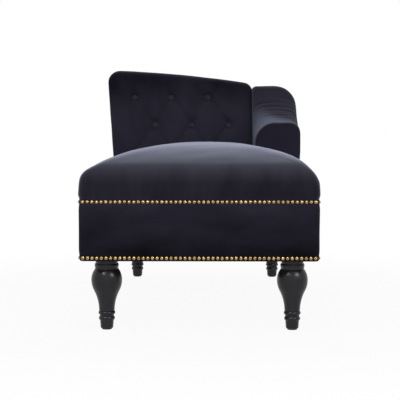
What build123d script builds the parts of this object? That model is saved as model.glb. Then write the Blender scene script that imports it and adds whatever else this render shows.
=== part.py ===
"""Upholstered chaise longue: one raised end with a tufted back and one scrolled arm, on four turned legs."""
import os
from math import atan, cos, radians, sin

from build123d import *

os.makedirs("parts", exist_ok=True)

# Box base
BASE_WIDTH = 680
BASE_LENGTH = 1420
LEG_HEIGHT = 204
APRON_HEIGHT = 175
CORNER_RADIUS = 16
COVER = 3
DUST_COVER = 1
DUST_COVER_INSET = 8
RAIL_THICKNESS = 25
RAIL_RISE = 7
BRACE_HEIGHT = 60
BRACE_LIFT = 10
BRACE_STATIONS = (0.34, 0.66)

# Clearances
FIT = 0.3
SEAT_GAP = 0.6
BORE_RUNOUT = 1
NEAR = 0.01
STEEP = 0.99
SKIRT = 40

# Legs
LEG_INSET = 72
FOOT_RADIUS = 18.2
FOOT_TOP_RADIUS = 19.8
FOOT_HEIGHT = 24
FOOT_EDGE = 2
LOW_BEAD_RADIUS = 23.3
HIGH_BEAD_RADIUS = 24.5
BEAD_HEIGHT = 11
BEAD_GROOVE_RADIUS = 20.6
BEAD_SPACING = 5
ANKLE_RADIUS = 22.4
SWELL_SHARE = 0.65
BULB_RADIUS = 44.5
SHOULDER_RISE = 32
COLLAR_RADIUS = 33.6
COLLAR_HEIGHT = 5
RING_RADIUS = 35
RING_HEIGHT = 10
NECK_RADIUS = 31.8
NECK_HEIGHT = 14
GLIDE_RADIUS = 14
GLIDE_THICKNESS = 3
GLIDE_PIN_RADIUS = 1.5
GLIDE_PIN_LENGTH = 12
BLOCK_HEIGHT = 40
BOLT_RADIUS = 4
BOLT_IN_LEG = 45
INSERT_WALL = 2.5

# Frame fasteners
DOWEL_RADIUS = 5
DOWEL_LENGTH = 48
DOWEL_DEPTH_IN_SIDE = 18
DOWEL_HEIGHTS = (0.3, 0.78)
SCREW_RADIUS = 2.2
SCREW_HEAD_RADIUS = 4.5
SCREW_HEAD_HEIGHT = 3
SCREW_LENGTH = 60
SCREW_GRIP = 15
SILL_SCREW_LENGTH = 45
SILL_SCREW_SHARES = (0.2, 0.8)
HEAD_SCREW_SHARES = (-0.6, -0.15, 0.3, 0.75)
ARM_SCREW_SHARES = (0.1, 0.4, 0.7)
PANEL_SCREW_SHARES = (0.4, 0.8)
POST_SCREW_SHARES = (0.3, 0.7)
TOP_DOWEL_SHARES = (0.5, 1.5)

# Springs under the seat
SPRING_COUNT = 9
SPRING_BARS = 18
SPRING_WIRE = 1.6
SPRING_HALF_BAR = 14
SPRING_END_INSET = 6
SPRING_DROP = 5
CLIP_SHEET = 1.5
CLIP_LENGTH = 22
CLIP_TAIL = 14
CLIP_NAIL_RADIUS = 1
CLIP_NAIL_LENGTH = 12
INSULATOR_THICKNESS = 3
INSULATOR_INSET = 12

# Seat pad
SEAT_CROWN = 159
SEAT_SIDE = 79
SEAT_FRONT = 82
SEAT_BULGE = 4
SEAT_BULGE_RISE = 21
SEAT_CORNER_RADIUS = 36
SEAT_CORNER_SPARE = 2
SEAT_DRAW_IN = 5
SEAT_FRONT_DRAW_IN = 2
SEAT_SIDE_RADIUS = 16
SEAT_FRONT_RADIUS = 28
SEAT_RISE_HEIGHT = 165
SEAT_RISE_LENGTH = 340

# Back
BACK_DEPTH = 269
BACK_RAKE = 0.133
BACK_LEFT_TOP = 433
BACK_RIGHT_TOP = 381
BACK_TOP_CROWN = 9
BACK_FLARE = 33
BACK_LEFT_RADIUS = 36
BACK_RIGHT_RADIUS = 30
BACK_FRONT_ROUND = 18
BACK_FOAM = 70
BACK_TOP_FOAM = 40
BACK_LEFT_FOAM = 30
BACK_RIGHT_FOAM = 14
BACK_BOARD = 5
BACK_LINER = 2
PANEL = 18
PLANK = 25
PLANK_WIDTH = 60
MIDDLE_PLANK_RISE = 250

# Tufting
TUFT_PITCH = 140
TUFT_SHIFT = -87
TUFT_ROW_OFFSET = 39.5
TUFT_UPPER_RISE = 329
TUFT_LOWER_RISE = 223
TUFT_HIDDEN_RISE = 117
TUFT_RADIUS = 38
TUFT_DEPTH = 14
TUFT_SEAT_RADIUS = 11.5
FOLD_WIDTH = 12
FOLD_DEPTH = 5
BUTTON_RADIUS = 9
BUTTON_HEIGHT = 6
BUTTON_ROUND = 3
TWINE_RADIUS = 1
KNOT_RADIUS = 6
KNOT_HEIGHT = 2

# Arm
ARM_WIDTH = 168
ARM_BULGE = 12
ARM_BULGE_RISE = 91
ARM_BULGE_BLEND = 300
ARM_LENGTH = 509
ARM_FRONT_TOP = 230
ARM_REAR_TOP = 374
ARM_SWEEP_ANGLE = 52.8
ARM_CREST_RADIUS = 75
ARM_INNER_ROUND = 60
ARM_OUTER_ROUND = 50
ARM_ROLL_RADIUS = 100
ARM_ROLL_OVER = 5
ARM_FRONT_ROUND = 6
ARM_FOAM = 35
ARM_TOP_BOARD = 6
ARM_SIDE_BOARD = 5
FACING_INSET = 8

# Decorative nails
NAIL_RADIUS = 5
NAIL_RISE = 3
NAIL_SHANK_RADIUS = 0.8
NAIL_SHANK_LENGTH = 8
NAIL_COUNT_FOOT = 51
NAIL_COUNT_SIDE = 107
NAIL_MARGIN = 11
NAIL_EDGE = 7
NAIL_LOW_EDGE = 9

# Heights and positions that follow from the sizes above, measured from the floor and from the foot face
HALF_WIDTH = BASE_WIDTH / 2
APRON_TOP = LEG_HEIGHT + APRON_HEIGHT
RAIL_BOTTOM = LEG_HEIGHT + DUST_COVER
RAIL_TOP = APRON_TOP + RAIL_RISE
RAIL_OUT = HALF_WIDTH - COVER
RAIL_IN = RAIL_OUT - RAIL_THICKNESS
RAIL_FOOT = COVER + RAIL_THICKNESS
RAIL_HEAD = BASE_LENGTH - COVER - RAIL_THICKNESS
SILL_TOP = RAIL_TOP + PANEL
LOW = APRON_TOP - SKIRT
HIGH = APRON_TOP + 2 * BACK_LEFT_TOP
ARM_RIGHT = HALF_WIDTH + ARM_BULGE
ARM_LEFT = ARM_RIGHT - ARM_WIDTH
BACK_RIGHT = ARM_LEFT - SEAT_GAP
BACK_STATION = BASE_LENGTH - BACK_DEPTH
ARM_STATION = BASE_LENGTH - ARM_LENGTH
RAKE_ANGLE = atan(BACK_RAKE)
BASE_X = (BACK_FLARE - ARM_BULGE) / 2
FOOT_Y = (SEAT_BULGE - BASE_LENGTH) / 2


def save(name, *solids):
    """Writes one node, moved so that the floor point under the middle of the part is the origin."""
    placed = [Pos(BASE_X, FOOT_Y, 0) * solid for solid in solids]
    shape = placed[0] if len(placed) == 1 else Compound(children=placed)
    export_step(shape, f"parts/{name}.step")


def block(x0, x1, y0, y1, z0, z1):
    return Pos((x0 + x1) / 2, (y0 + y1) / 2, (z0 + z1) / 2) * Box(x1 - x0, y1 - y0, z1 - z0)


def prism_x(face, x0, x1):
    return extrude(Plane.YZ.offset(x0) * face, amount=x1 - x0)


def prism_y(face, y0, y1):
    return extrude(Plane.XZ.offset(-y1) * face, amount=y1 - y0)


def prism_z(face, z0, z1):
    return extrude(Plane.XY.offset(z0) * face, amount=z1 - z0)


def shrunk(face, inset):
    return offset(face, -inset) if inset else face


def outline(points):
    return make_face(Polyline(*points, close=True))


def rod(start, direction, length, radius):
    base = Plane(origin=start, z_dir=direction)
    return extrude(base * Circle(radius), amount=length)


def upper_part(solid, height):
    """Keeps what lies above a height."""
    reach = BASE_LENGTH
    return solid & block(-reach, reach, -reach, 2 * reach, height, HIGH + reach)


def edges_on_plane(solid, point, normal):
    """Edges lying in a plane, without the ones on the underside of the form."""
    chosen = []
    for edge in solid.edges():
        away = [abs((edge @ t - Vector(point)).dot(Vector(normal))) for t in (0, 0.5, 1)]
        if max(away) < NEAR and (edge @ 0.5).Z > LOW + 0.5 * SKIRT:
            chosen.append(edge)
    return chosen


# Frame of the box
def side_rail(side):
    rail = block(RAIL_IN, RAIL_OUT, COVER, BASE_LENGTH - COVER, RAIL_BOTTOM, RAIL_TOP)
    outer = [e for e in rail.edges().filter_by(Axis.Z) if e.center().X > RAIL_OUT - 1]
    rail = fillet(outer, CORNER_RADIUS - COVER)
    return rail if side > 0 else mirror(rail, about=Plane.YZ)


left_rail = side_rail(-1)
right_rail = side_rail(1)
foot_rail = block(-RAIL_IN, RAIL_IN, COVER, RAIL_FOOT, RAIL_BOTTOM, RAIL_TOP)
head_rail = block(-RAIL_IN, RAIL_IN, RAIL_HEAD, BASE_LENGTH - COVER, RAIL_BOTTOM, RAIL_TOP)
brace_bottom = RAIL_BOTTOM + BRACE_LIFT
brace_middles = [share * BASE_LENGTH for share in BRACE_STATIONS]
brace_top = brace_bottom + BRACE_HEIGHT
braces = [
    block(-RAIL_IN, RAIL_IN, y - RAIL_THICKNESS / 2, y + RAIL_THICKNESS / 2, brace_bottom, brace_top)
    for y in brace_middles
]

# Corner blocks hold the legs, each block centred on its leg
LEG_X = HALF_WIDTH - LEG_INSET
LEG_Y = (LEG_INSET, BASE_LENGTH - LEG_INSET)
BLOCK = 2 * (LEG_INSET - COVER - RAIL_THICKNESS)
leg_spots = {
    "front_left": (-LEG_X, LEG_Y[0]),
    "front_right": (LEG_X, LEG_Y[0]),
    "rear_left": (-LEG_X, LEG_Y[1]),
    "rear_right": (LEG_X, LEG_Y[1]),
}
block_top = RAIL_BOTTOM + BLOCK_HEIGHT
insert_radius = BOLT_RADIUS + INSERT_WALL
leg_inserts = []
leg_bolts = []
corner_screws = []
corner_blocks = {}
screw_bores = []


def screw(tip, direction, length):
    """A screw lying along a direction, with its head at the end of the shank."""
    head = Vector(*tip) + Vector(*direction) * (length - SCREW_HEAD_HEIGHT)
    shank = rod(tip, direction, length - SCREW_HEAD_HEIGHT, SCREW_RADIUS)
    return shank + rod(head, direction, SCREW_HEAD_HEIGHT, SCREW_HEAD_RADIUS)


def screw_bore(tip, direction, length, reach):
    """The clearance hole for a screw, with a wider bore for the head and the driver."""
    start = Vector(*tip) - Vector(*direction) * FIT
    head = Vector(*tip) + Vector(*direction) * (length - SCREW_HEAD_HEIGHT)
    shank = rod(start, direction, length, SCREW_RADIUS + FIT)
    return shank + rod(head, direction, reach, SCREW_HEAD_RADIUS + FIT)


for name, (x, y) in leg_spots.items():
    to_x = 1 if x < 0 else -1
    to_y = 1 if y < BASE_LENGTH / 2 else -1
    body = block(x - BLOCK / 2, x + BLOCK / 2, y - BLOCK / 2, y + BLOCK / 2, RAIL_BOTTOM, block_top)
    body -= rod((x, y, RAIL_BOTTOM), (0, 0, 1), BLOCK_HEIGHT, insert_radius + FIT)
    tube = rod((x, y, RAIL_BOTTOM), (0, 0, 1), BLOCK_HEIGHT, insert_radius)
    tube -= rod((x, y, RAIL_BOTTOM), (0, 0, 1), BLOCK_HEIGHT, BOLT_RADIUS + FIT)
    leg_inserts.append(tube)
    bolt_low = (x, y, RAIL_BOTTOM - BOLT_IN_LEG)
    leg_bolts.append(rod(bolt_low, (0, 0, 1), BOLT_IN_LEG + BLOCK_HEIGHT, BOLT_RADIUS))
    into_side = (x - to_x * (BLOCK / 2 + SCREW_GRIP), y + to_y * BLOCK / 4, RAIL_BOTTOM + BLOCK_HEIGHT / 3)
    into_end = (x + to_x * BLOCK / 4, y - to_y * (BLOCK / 2 + SCREW_GRIP), RAIL_BOTTOM + 2 * BLOCK_HEIGHT / 3)
    for tip, direction in ((into_side, (to_x, 0, 0)), (into_end, (0, to_y, 0))):
        corner_screws.append(screw(tip, direction, SCREW_LENGTH))
        bore = screw_bore(tip, direction, SCREW_LENGTH, BLOCK)
        screw_bores.append(bore)
        body -= bore
    corner_blocks[name] = body

# Dowels join the end rails and the braces to the side rails
frame_dowels = []
dowel_bores = []
end_middles = (COVER + RAIL_THICKNESS / 2, BASE_LENGTH - COVER - RAIL_THICKNESS / 2)
dowel_levels = [RAIL_BOTTOM + share * (RAIL_TOP - RAIL_BOTTOM) for share in DOWEL_HEIGHTS]
dowel_spots = [(y, z) for y in end_middles for z in dowel_levels]
dowel_spots += [(y, brace_bottom + BRACE_HEIGHT / 2) for y in brace_middles]
for y, z in dowel_spots:
    for side in (-1, 1):
        start = (side * (RAIL_IN + DOWEL_DEPTH_IN_SIDE), y, z)
        frame_dowels.append(rod(start, (-side, 0, 0), DOWEL_LENGTH, DOWEL_RADIUS))
        longer = (start[0] + side * FIT, y, z)
        dowel_bores.append(rod(longer, (-side, 0, 0), DOWEL_LENGTH + 2 * FIT, DOWEL_RADIUS + FIT))

left_bores = [b for b in dowel_bores + screw_bores if b.center().X < 0]
right_bores = [b for b in dowel_bores + screw_bores if b.center().X > 0]
left_rail -= left_bores
right_rail -= right_bores
foot_rail -= [b for b in dowel_bores + screw_bores if b.center().Y < LEG_INSET + BLOCK]
head_rail -= [b for b in dowel_bores + screw_bores if b.center().Y > BASE_LENGTH - LEG_INSET - BLOCK]
braces = [brace - dowel_bores for brace in braces]


# Turned legs
def bead(radius, groove, z0, height):
    return ThreePointArc((groove, z0), (radius, z0 + height / 2), (groove, z0 + height))


def leg_section():
    z0 = GLIDE_THICKNESS
    z1 = z0 + FOOT_HEIGHT
    z2 = z1 + BEAD_HEIGHT
    z3 = z2 + BEAD_SPACING
    z4 = z3 + BEAD_HEIGHT
    z8 = RAIL_BOTTOM - NECK_HEIGHT
    z7 = z8 - RING_HEIGHT
    z6 = z7 - COLLAR_HEIGHT
    z5 = z6 - SHOULDER_RISE
    swell = (ANKLE_RADIUS + SWELL_SHARE * (BULB_RADIUS - ANKLE_RADIUS), z4 + SWELL_SHARE * (z5 - z4))
    lines = [
        Line((0, z0), (FOOT_RADIUS - FOOT_EDGE, z0)),
        Line((FOOT_RADIUS - FOOT_EDGE, z0), (FOOT_RADIUS, z0 + FOOT_EDGE)),
        Line((FOOT_RADIUS, z0 + FOOT_EDGE), (FOOT_TOP_RADIUS, z1)),
        Line((FOOT_TOP_RADIUS, z1), (BEAD_GROOVE_RADIUS, z1)),
        bead(LOW_BEAD_RADIUS, BEAD_GROOVE_RADIUS, z1, BEAD_HEIGHT),
        Line((BEAD_GROOVE_RADIUS, z2), (BEAD_GROOVE_RADIUS, z3)),
        bead(HIGH_BEAD_RADIUS, BEAD_GROOVE_RADIUS, z3, BEAD_HEIGHT),
        Line((BEAD_GROOVE_RADIUS, z4), (ANKLE_RADIUS, z4)),
        TangentArc((ANKLE_RADIUS, z4), swell, tangent=(0, 1)),
        TangentArc((BULB_RADIUS, z5), swell, tangent=(0, -1)),
        TangentArc((BULB_RADIUS, z5), (COLLAR_RADIUS, z6), tangent=(0, 1)),
        Line((COLLAR_RADIUS, z6), (COLLAR_RADIUS, z7)),
        bead(RING_RADIUS, COLLAR_RADIUS, z7, RING_HEIGHT),
        Line((COLLAR_RADIUS, z8), (NECK_RADIUS, z8)),
        Line((NECK_RADIUS, z8), (NECK_RADIUS, RAIL_BOTTOM)),
        Line((NECK_RADIUS, RAIL_BOTTOM), (0, RAIL_BOTTOM)),
        Line((0, RAIL_BOTTOM), (0, z0)),
    ]
    return make_face(lines)


leg = revolve(Plane.XZ * leg_section(), axis=Axis.Z)
leg -= rod((0, 0, RAIL_BOTTOM - BOLT_IN_LEG - FIT), (0, 0, 1), BOLT_IN_LEG + FIT, BOLT_RADIUS + FIT)
leg -= rod((0, 0, GLIDE_THICKNESS), (0, 0, 1), GLIDE_PIN_LENGTH + FIT, GLIDE_PIN_RADIUS + FIT)
glide = rod((0, 0, 0), (0, 0, 1), GLIDE_THICKNESS, GLIDE_RADIUS)
glide += rod((0, 0, GLIDE_THICKNESS), (0, 0, 1), GLIDE_PIN_LENGTH, GLIDE_PIN_RADIUS)
for name, (x, y) in leg_spots.items():
    save(f"{name}_leg", Pos(x, y, 0) * leg)
    save(f"{name}_corner_block", corner_blocks[name])
save("foot_glides", *[Pos(x, y, 0) * glide for x, y in leg_spots.values()])
save("leg_inserts", *leg_inserts)
save("leg_bolts", *leg_bolts)
save("corner_screws", *corner_screws)
save("frame_dowels", *frame_dowels)
save("foot_brace", braces[0])
save("head_brace", braces[1])

# Dust cover under the box, open round the leg necks
dust_cover = block(
    DUST_COVER_INSET - HALF_WIDTH, HALF_WIDTH - DUST_COVER_INSET,
    DUST_COVER_INSET, BASE_LENGTH - DUST_COVER_INSET, LEG_HEIGHT, RAIL_BOTTOM,
)
for x, y in leg_spots.values():
    dust_cover -= rod((x, y, LEG_HEIGHT), (0, 0, 1), DUST_COVER, NECK_RADIUS + FIT)
save("dust_cover", dust_cover)

# Zigzag springs across the box, held in clips on the side rails
spring_z = RAIL_TOP - SPRING_DROP
spring_half = RAIL_IN - SPRING_END_INSET
bar_pitch = 2 * spring_half / (SPRING_BARS - 1)


def zigzag():
    pieces = []
    for i in range(SPRING_BARS):
        x = i * bar_pitch - spring_half
        turn = 1 if i % 2 == 0 else -1
        pieces.append(Line((x, -turn * SPRING_HALF_BAR), (x, turn * SPRING_HALF_BAR)))
        if i < SPRING_BARS - 1:
            top = (x + bar_pitch / 2, turn * (SPRING_HALF_BAR + bar_pitch / 2))
            end = (x + bar_pitch, turn * SPRING_HALF_BAR)
            pieces.append(ThreePointArc((x, turn * SPRING_HALF_BAR), top, end))
    return Wire(pieces)


path = zigzag()
spring = sweep(Plane(origin=path @ 0, z_dir=path % 0) * Circle(SPRING_WIRE), path=path)
spring_step = (RAIL_HEAD - RAIL_FOOT) / (SPRING_COUNT + 1)
spring_rows = [RAIL_FOOT + spring_step * (i + 1) for i in range(SPRING_COUNT)]
save("seat_springs", *[Pos(0, y, spring_z) * spring for y in spring_rows])

slot = SPRING_WIRE + FIT
hook_in = SPRING_END_INSET + slot
clip_section = outline([
    (0, -CLIP_TAIL), (CLIP_SHEET, -CLIP_TAIL), (CLIP_SHEET, -slot - CLIP_SHEET),
    (hook_in + CLIP_SHEET, -slot - CLIP_SHEET), (hook_in + CLIP_SHEET, SPRING_WIRE), (hook_in, SPRING_WIRE),
    (hook_in, -slot), (CLIP_SHEET, -slot), (CLIP_SHEET, SPRING_WIRE), (0, SPRING_WIRE),
])
nail_z = (-CLIP_TAIL - slot - CLIP_SHEET) / 2
clip = prism_y(clip_section, -CLIP_LENGTH / 2, CLIP_LENGTH / 2)
clip -= rod((0, 0, nail_z), (1, 0, 0), CLIP_SHEET, CLIP_NAIL_RADIUS + FIT)
clip_nail = rod((CLIP_SHEET, 0, nail_z), (-1, 0, 0), CLIP_NAIL_LENGTH, CLIP_NAIL_RADIUS)
clip_nail += rod((CLIP_SHEET, 0, nail_z), (1, 0, 0), CLIP_SHEET, 2 * CLIP_NAIL_RADIUS)
clip_bore = rod((0, 0, nail_z), (-1, 0, 0), CLIP_NAIL_LENGTH, CLIP_NAIL_RADIUS + FIT)
left_hooks = [Pos(-RAIL_IN, y, spring_z) for y in spring_rows]
right_hooks = [Pos(RAIL_IN, y, spring_z) * Rot(0, 0, 180) for y in spring_rows]
save("spring_clips", *[spot * clip for spot in left_hooks + right_hooks])
save("clip_nails", *[spot * clip_nail for spot in left_hooks + right_hooks])
left_rail -= [spot * clip_bore for spot in left_hooks]
right_rail -= [spot * clip_bore for spot in right_hooks]

pad_half = RAIL_IN - INSULATOR_INSET
insulator_pad = block(
    -pad_half, pad_half, RAIL_FOOT + INSULATOR_INSET, RAIL_HEAD - INSULATOR_INSET,
    RAIL_TOP - INSULATOR_THICKNESS, RAIL_TOP,
)
save("insulator_pad", insulator_pad)

# Box cover in four panels, mitred at the corners
box_outer = RectangleRounded(BASE_WIDTH, BASE_LENGTH, CORNER_RADIUS)
box_ring = Pos(0, BASE_LENGTH / 2) * (box_outer - offset(box_outer, -COVER))
box_shell = prism_z(box_ring, LEG_HEIGHT, APRON_TOP)
mitre = HALF_WIDTH
foot_wedge = outline([(-mitre, 0), (mitre, 0), (0, mitre)])
head_wedge = outline([(-mitre, BASE_LENGTH), (mitre, BASE_LENGTH), (0, BASE_LENGTH - mitre)])
left_wedge = outline([(-mitre, 0), (0, mitre), (0, BASE_LENGTH - mitre), (-mitre, BASE_LENGTH)])
right_wedge = outline([(mitre, 0), (0, mitre), (0, BASE_LENGTH - mitre), (mitre, BASE_LENGTH)])
foot_apron, head_apron, left_apron, right_apron = [
    box_shell & prism_z(wedge, LEG_HEIGHT, APRON_TOP)
    for wedge in (foot_wedge, head_wedge, left_wedge, right_wedge)
]

# Decorative nails along the foot and both long sides, in two rows
nail_ball = (NAIL_RADIUS**2 + NAIL_RISE**2) / (2 * NAIL_RISE)
nail_dome = Pos(0, 0, NAIL_RISE - nail_ball) * Sphere(nail_ball) & Pos(0, 0, nail_ball) * Box(
    4 * nail_ball, 4 * nail_ball, 2 * nail_ball
)
nail = nail_dome + rod((0, 0, 0), (0, 0, -1), NAIL_SHANK_LENGTH, NAIL_SHANK_RADIUS)
nail_bore = rod((0, 0, 0), (0, 0, -1), NAIL_SHANK_LENGTH + FIT, NAIL_SHANK_RADIUS + FIT)
foot_step = (BASE_WIDTH - 2 * NAIL_MARGIN) / (NAIL_COUNT_FOOT - 1)
side_step = (BASE_LENGTH - 2 * NAIL_MARGIN) / (NAIL_COUNT_SIDE - 1)
foot_runs = [NAIL_MARGIN - HALF_WIDTH + i * foot_step for i in range(NAIL_COUNT_FOOT)]
side_runs = [NAIL_MARGIN + i * side_step for i in range(NAIL_COUNT_SIDE)]
nail_rows = {"upper_nails": APRON_TOP - NAIL_EDGE, "lower_nails": LEG_HEIGHT + NAIL_LOW_EDGE}
foot_bores = []
left_side_bores = []
right_side_bores = []


def nail_spot(point, outward):
    return Plane(origin=point, z_dir=outward).location


for row, z in nail_rows.items():
    foot_spots = [nail_spot((x, 0, z), (0, -1, 0)) for x in foot_runs]
    left_spots = [nail_spot((-HALF_WIDTH, y, z), (-1, 0, 0)) for y in side_runs]
    right_spots = [nail_spot((HALF_WIDTH, y, z), (1, 0, 0)) for y in side_runs]
    save(row, *[spot * nail for spot in foot_spots + left_spots + right_spots])
    foot_bores += [spot * nail_bore for spot in foot_spots]
    left_side_bores += [spot * nail_bore for spot in left_spots]
    right_side_bores += [spot * nail_bore for spot in right_spots]

save("foot_apron", foot_apron - foot_bores)
save("left_apron", left_apron - left_side_bores)
save("right_apron", right_apron - right_side_bores)
save("head_apron", head_apron)
foot_rail -= foot_bores
left_rail -= left_side_bores + foot_bores
right_rail -= right_side_bores + foot_bores


# Seat pad
def back_front(z):
    return BACK_STATION + BACK_RAKE * (z - RAIL_TOP)


def seat_form(inset):
    """The seat pad, drawn in by a thickness on its top and sides."""
    half = HALF_WIDTH - inset
    wide = half + SEAT_BULGE
    edge = half - SEAT_DRAW_IN
    side_z = APRON_TOP + SEAT_SIDE - inset
    crown_z = APRON_TOP + SEAT_CROWN - inset
    bulge_z = APRON_TOP + SEAT_BULGE_RISE
    across = make_face([
        Line((-half, LOW), (half, LOW)),
        Line((half, LOW), (half, APRON_TOP)),
        TangentArc((wide, bulge_z), (half, APRON_TOP), tangent=(0, -1)),
        TangentArc((wide, bulge_z), (edge, side_z), tangent=(0, 1)),
        ThreePointArc((edge, side_z), (0, crown_z), (-edge, side_z)),
        TangentArc((-wide, bulge_z), (-edge, side_z), tangent=(0, 1)),
        TangentArc((-wide, bulge_z), (-half, APRON_TOP), tangent=(0, -1)),
        Line((-half, APRON_TOP), (-half, LOW)),
    ])
    across = fillet([v for v in across.vertices() if abs(v.Y - side_z) < NEAR], SEAT_SIDE_RADIUS - inset)
    front = (SEAT_FRONT_DRAW_IN + inset, APRON_TOP + SEAT_FRONT - inset)
    swell = inset - SEAT_BULGE
    spare = SEAT_GAP + inset
    rise_z = APRON_TOP + SEAT_RISE_HEIGHT - inset
    rear_top = (back_front(rise_z) - spare / cos(RAKE_ANGLE), rise_z)
    rear_low = (back_front(LOW) - spare / cos(RAKE_ANGLE), LOW)
    along = make_face([
        Line((inset, LOW), (inset, APRON_TOP)),
        TangentArc((swell, bulge_z), (inset, APRON_TOP), tangent=(0, -1)),
        TangentArc((swell, bulge_z), front, tangent=(0, 1)),
        TangentArc((SEAT_RISE_LENGTH, rise_z), front, tangent=(-1, 0)),
        Line((SEAT_RISE_LENGTH, rise_z), rear_top),
        Line(rear_top, rear_low),
        Line(rear_low, (inset, LOW)),
    ])
    along = fillet([v for v in along.vertices() if abs(v.Y - front[1]) < NEAR], SEAT_FRONT_RADIUS - inset)
    clear = wide + SEAT_CORNER_SPARE
    tip = swell - SEAT_CORNER_SPARE
    plan = outline([(-clear, tip), (clear, tip), (clear, BASE_LENGTH), (-clear, BASE_LENGTH)])
    plan = fillet([v for v in plan.vertices() if v.Y < BASE_LENGTH / 2], SEAT_CORNER_RADIUS - inset)
    form = prism_y(across, -BASE_LENGTH, 2 * BASE_LENGTH)
    form &= prism_x(along, -BASE_WIDTH, BASE_WIDTH)
    form &= prism_z(plan, LOW, HIGH)
    return form - block(ARM_LEFT - spare, BASE_WIDTH, ARM_STATION - spare, BASE_LENGTH, 0, HIGH)


core_plan = RectangleRounded(2 * RAIL_OUT, BASE_LENGTH - 2 * COVER, CORNER_RADIUS - COVER)
base_core = prism_z(Pos(0, BASE_LENGTH / 2) * core_plan, 0, RAIL_TOP)
seat_inner = seat_form(COVER - FIT)
save("seat_cover", upper_part(seat_form(0) - seat_inner, APRON_TOP) - base_core)
save("seat_foam", upper_part(seat_inner, RAIL_TOP))


# Back
def back_left(z):
    return -HALF_WIDTH - BACK_FLARE * (z - APRON_TOP) / BACK_LEFT_TOP


def back_form(inset):
    left_z = APRON_TOP + BACK_LEFT_TOP
    right_z = APRON_TOP + BACK_RIGHT_TOP
    middle = ((back_left(left_z) + BACK_RIGHT) / 2, (left_z + right_z) / 2 + BACK_TOP_CROWN)
    face = make_face([
        Line((back_left(LOW), LOW), (BACK_RIGHT, LOW)),
        Line((BACK_RIGHT, LOW), (BACK_RIGHT, right_z)),
        ThreePointArc((BACK_RIGHT, right_z), middle, (back_left(left_z), left_z)),
        Line((back_left(left_z), left_z), (back_left(LOW), LOW)),
    ])
    face = fillet([v for v in face.vertices() if abs(v.Y - left_z) < NEAR], BACK_LEFT_RADIUS)
    face = fillet([v for v in face.vertices() if abs(v.Y - right_z) < NEAR], BACK_RIGHT_RADIUS)
    end = outline([
        (back_front(LOW), LOW), (BASE_LENGTH, LOW), (BASE_LENGTH, HIGH), (back_front(HIGH), HIGH),
    ])
    form = prism_y(shrunk(face, inset), 0, 2 * BASE_LENGTH)
    form &= prism_x(shrunk(end, inset), -BASE_WIDTH, BASE_WIDTH)
    out = (0, -cos(RAKE_ANGLE), sin(RAKE_ANGLE))
    front_point = Vector(0, back_front(RAIL_TOP), RAIL_TOP) - Vector(*out) * inset
    form = fillet(edges_on_plane(form, front_point, out), BACK_FRONT_ROUND - inset)
    rear_point = (0, BASE_LENGTH - inset, 0)
    return fillet(edges_on_plane(form, rear_point, (0, 1, 0)), CORNER_RADIUS - inset)


tuft_middles = [TUFT_SHIFT + (i - 1) * TUFT_PITCH for i in range(3)]
upper_tufts = [(x - TUFT_ROW_OFFSET, APRON_TOP + TUFT_UPPER_RISE) for x in tuft_middles]
lower_tufts = [(x + TUFT_ROW_OFFSET, APRON_TOP + TUFT_LOWER_RISE) for x in tuft_middles]
hidden_tufts = [(x - TUFT_ROW_OFFSET, APRON_TOP + TUFT_HIDDEN_RISE) for x in tuft_middles]
fold_lines = []
for i, low in enumerate(lower_tufts):
    for row in (upper_tufts, hidden_tufts):
        fold_lines += [(row[j], low) for j in (i, i + 1) if j < len(row)]


def tuft_plane(x, z):
    out = (0, -cos(RAKE_ANGLE), sin(RAKE_ANGLE))
    return Plane(origin=(x, back_front(z), z), x_dir=(1, 0, 0), z_dir=out)


def tuft_tools(grow):
    """Dimples and folds to be sunk in the front of the back, made deeper for the foam under the cover."""
    tools = []
    slope = (TUFT_RADIUS - TUFT_SEAT_RADIUS) / TUFT_DEPTH
    depth = TUFT_DEPTH + grow
    proud = 2 * COVER
    foot = TUFT_SEAT_RADIUS + grow
    for x, z in upper_tufts + lower_tufts:
        standing = (Align.CENTER, Align.CENTER, Align.MIN)
        cone = Cone(foot, foot + slope * (depth + proud), depth + proud, align=standing)
        tools.append(tuft_plane(x, z).location * Pos(0, 0, -depth) * cone)
    flank = FOLD_WIDTH / 2 / FOLD_DEPTH
    deep = FOLD_DEPTH + grow
    for start, end in fold_lines:
        here = tuft_plane(*start)
        run = tuft_plane(*end).origin - here.origin
        across = Plane(origin=here.origin, x_dir=here.z_dir.cross(run.normalized()), z_dir=run)
        wide = flank * (deep + proud)
        vee = outline([(0, -deep), (wide, proud), (-wide, proud)])
        tools.append(extrude(across * vee, amount=run.length))
    return tools


twine_reach = COVER + BACK_FOAM + BACK_BOARD
tuft_buttons = []
tuft_twines = []
twine_bores = []
for x, z in upper_tufts + lower_tufts:
    spot = tuft_plane(x, z).location
    seat = FIT - TUFT_DEPTH
    cap = rod((0, 0, seat), (0, 0, 1), BUTTON_HEIGHT, BUTTON_RADIUS)
    cap = fillet(cap.edges().group_by(Axis.Z)[-1], BUTTON_ROUND)
    twine = rod((0, 0, seat), (0, 0, -1), twine_reach + seat + KNOT_HEIGHT, TWINE_RADIUS)
    knot = rod((0, 0, -twine_reach), (0, 0, -1), KNOT_HEIGHT, KNOT_RADIUS)
    tuft_buttons.append(spot * cap)
    tuft_twines.append(spot * (twine + knot))
    twine_bores.append(spot * rod((0, 0, 0), (0, 0, -1), twine_reach, TWINE_RADIUS + FIT))
save("tuft_buttons", *tuft_buttons)
save("tuft_twines", *tuft_twines)

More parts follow.
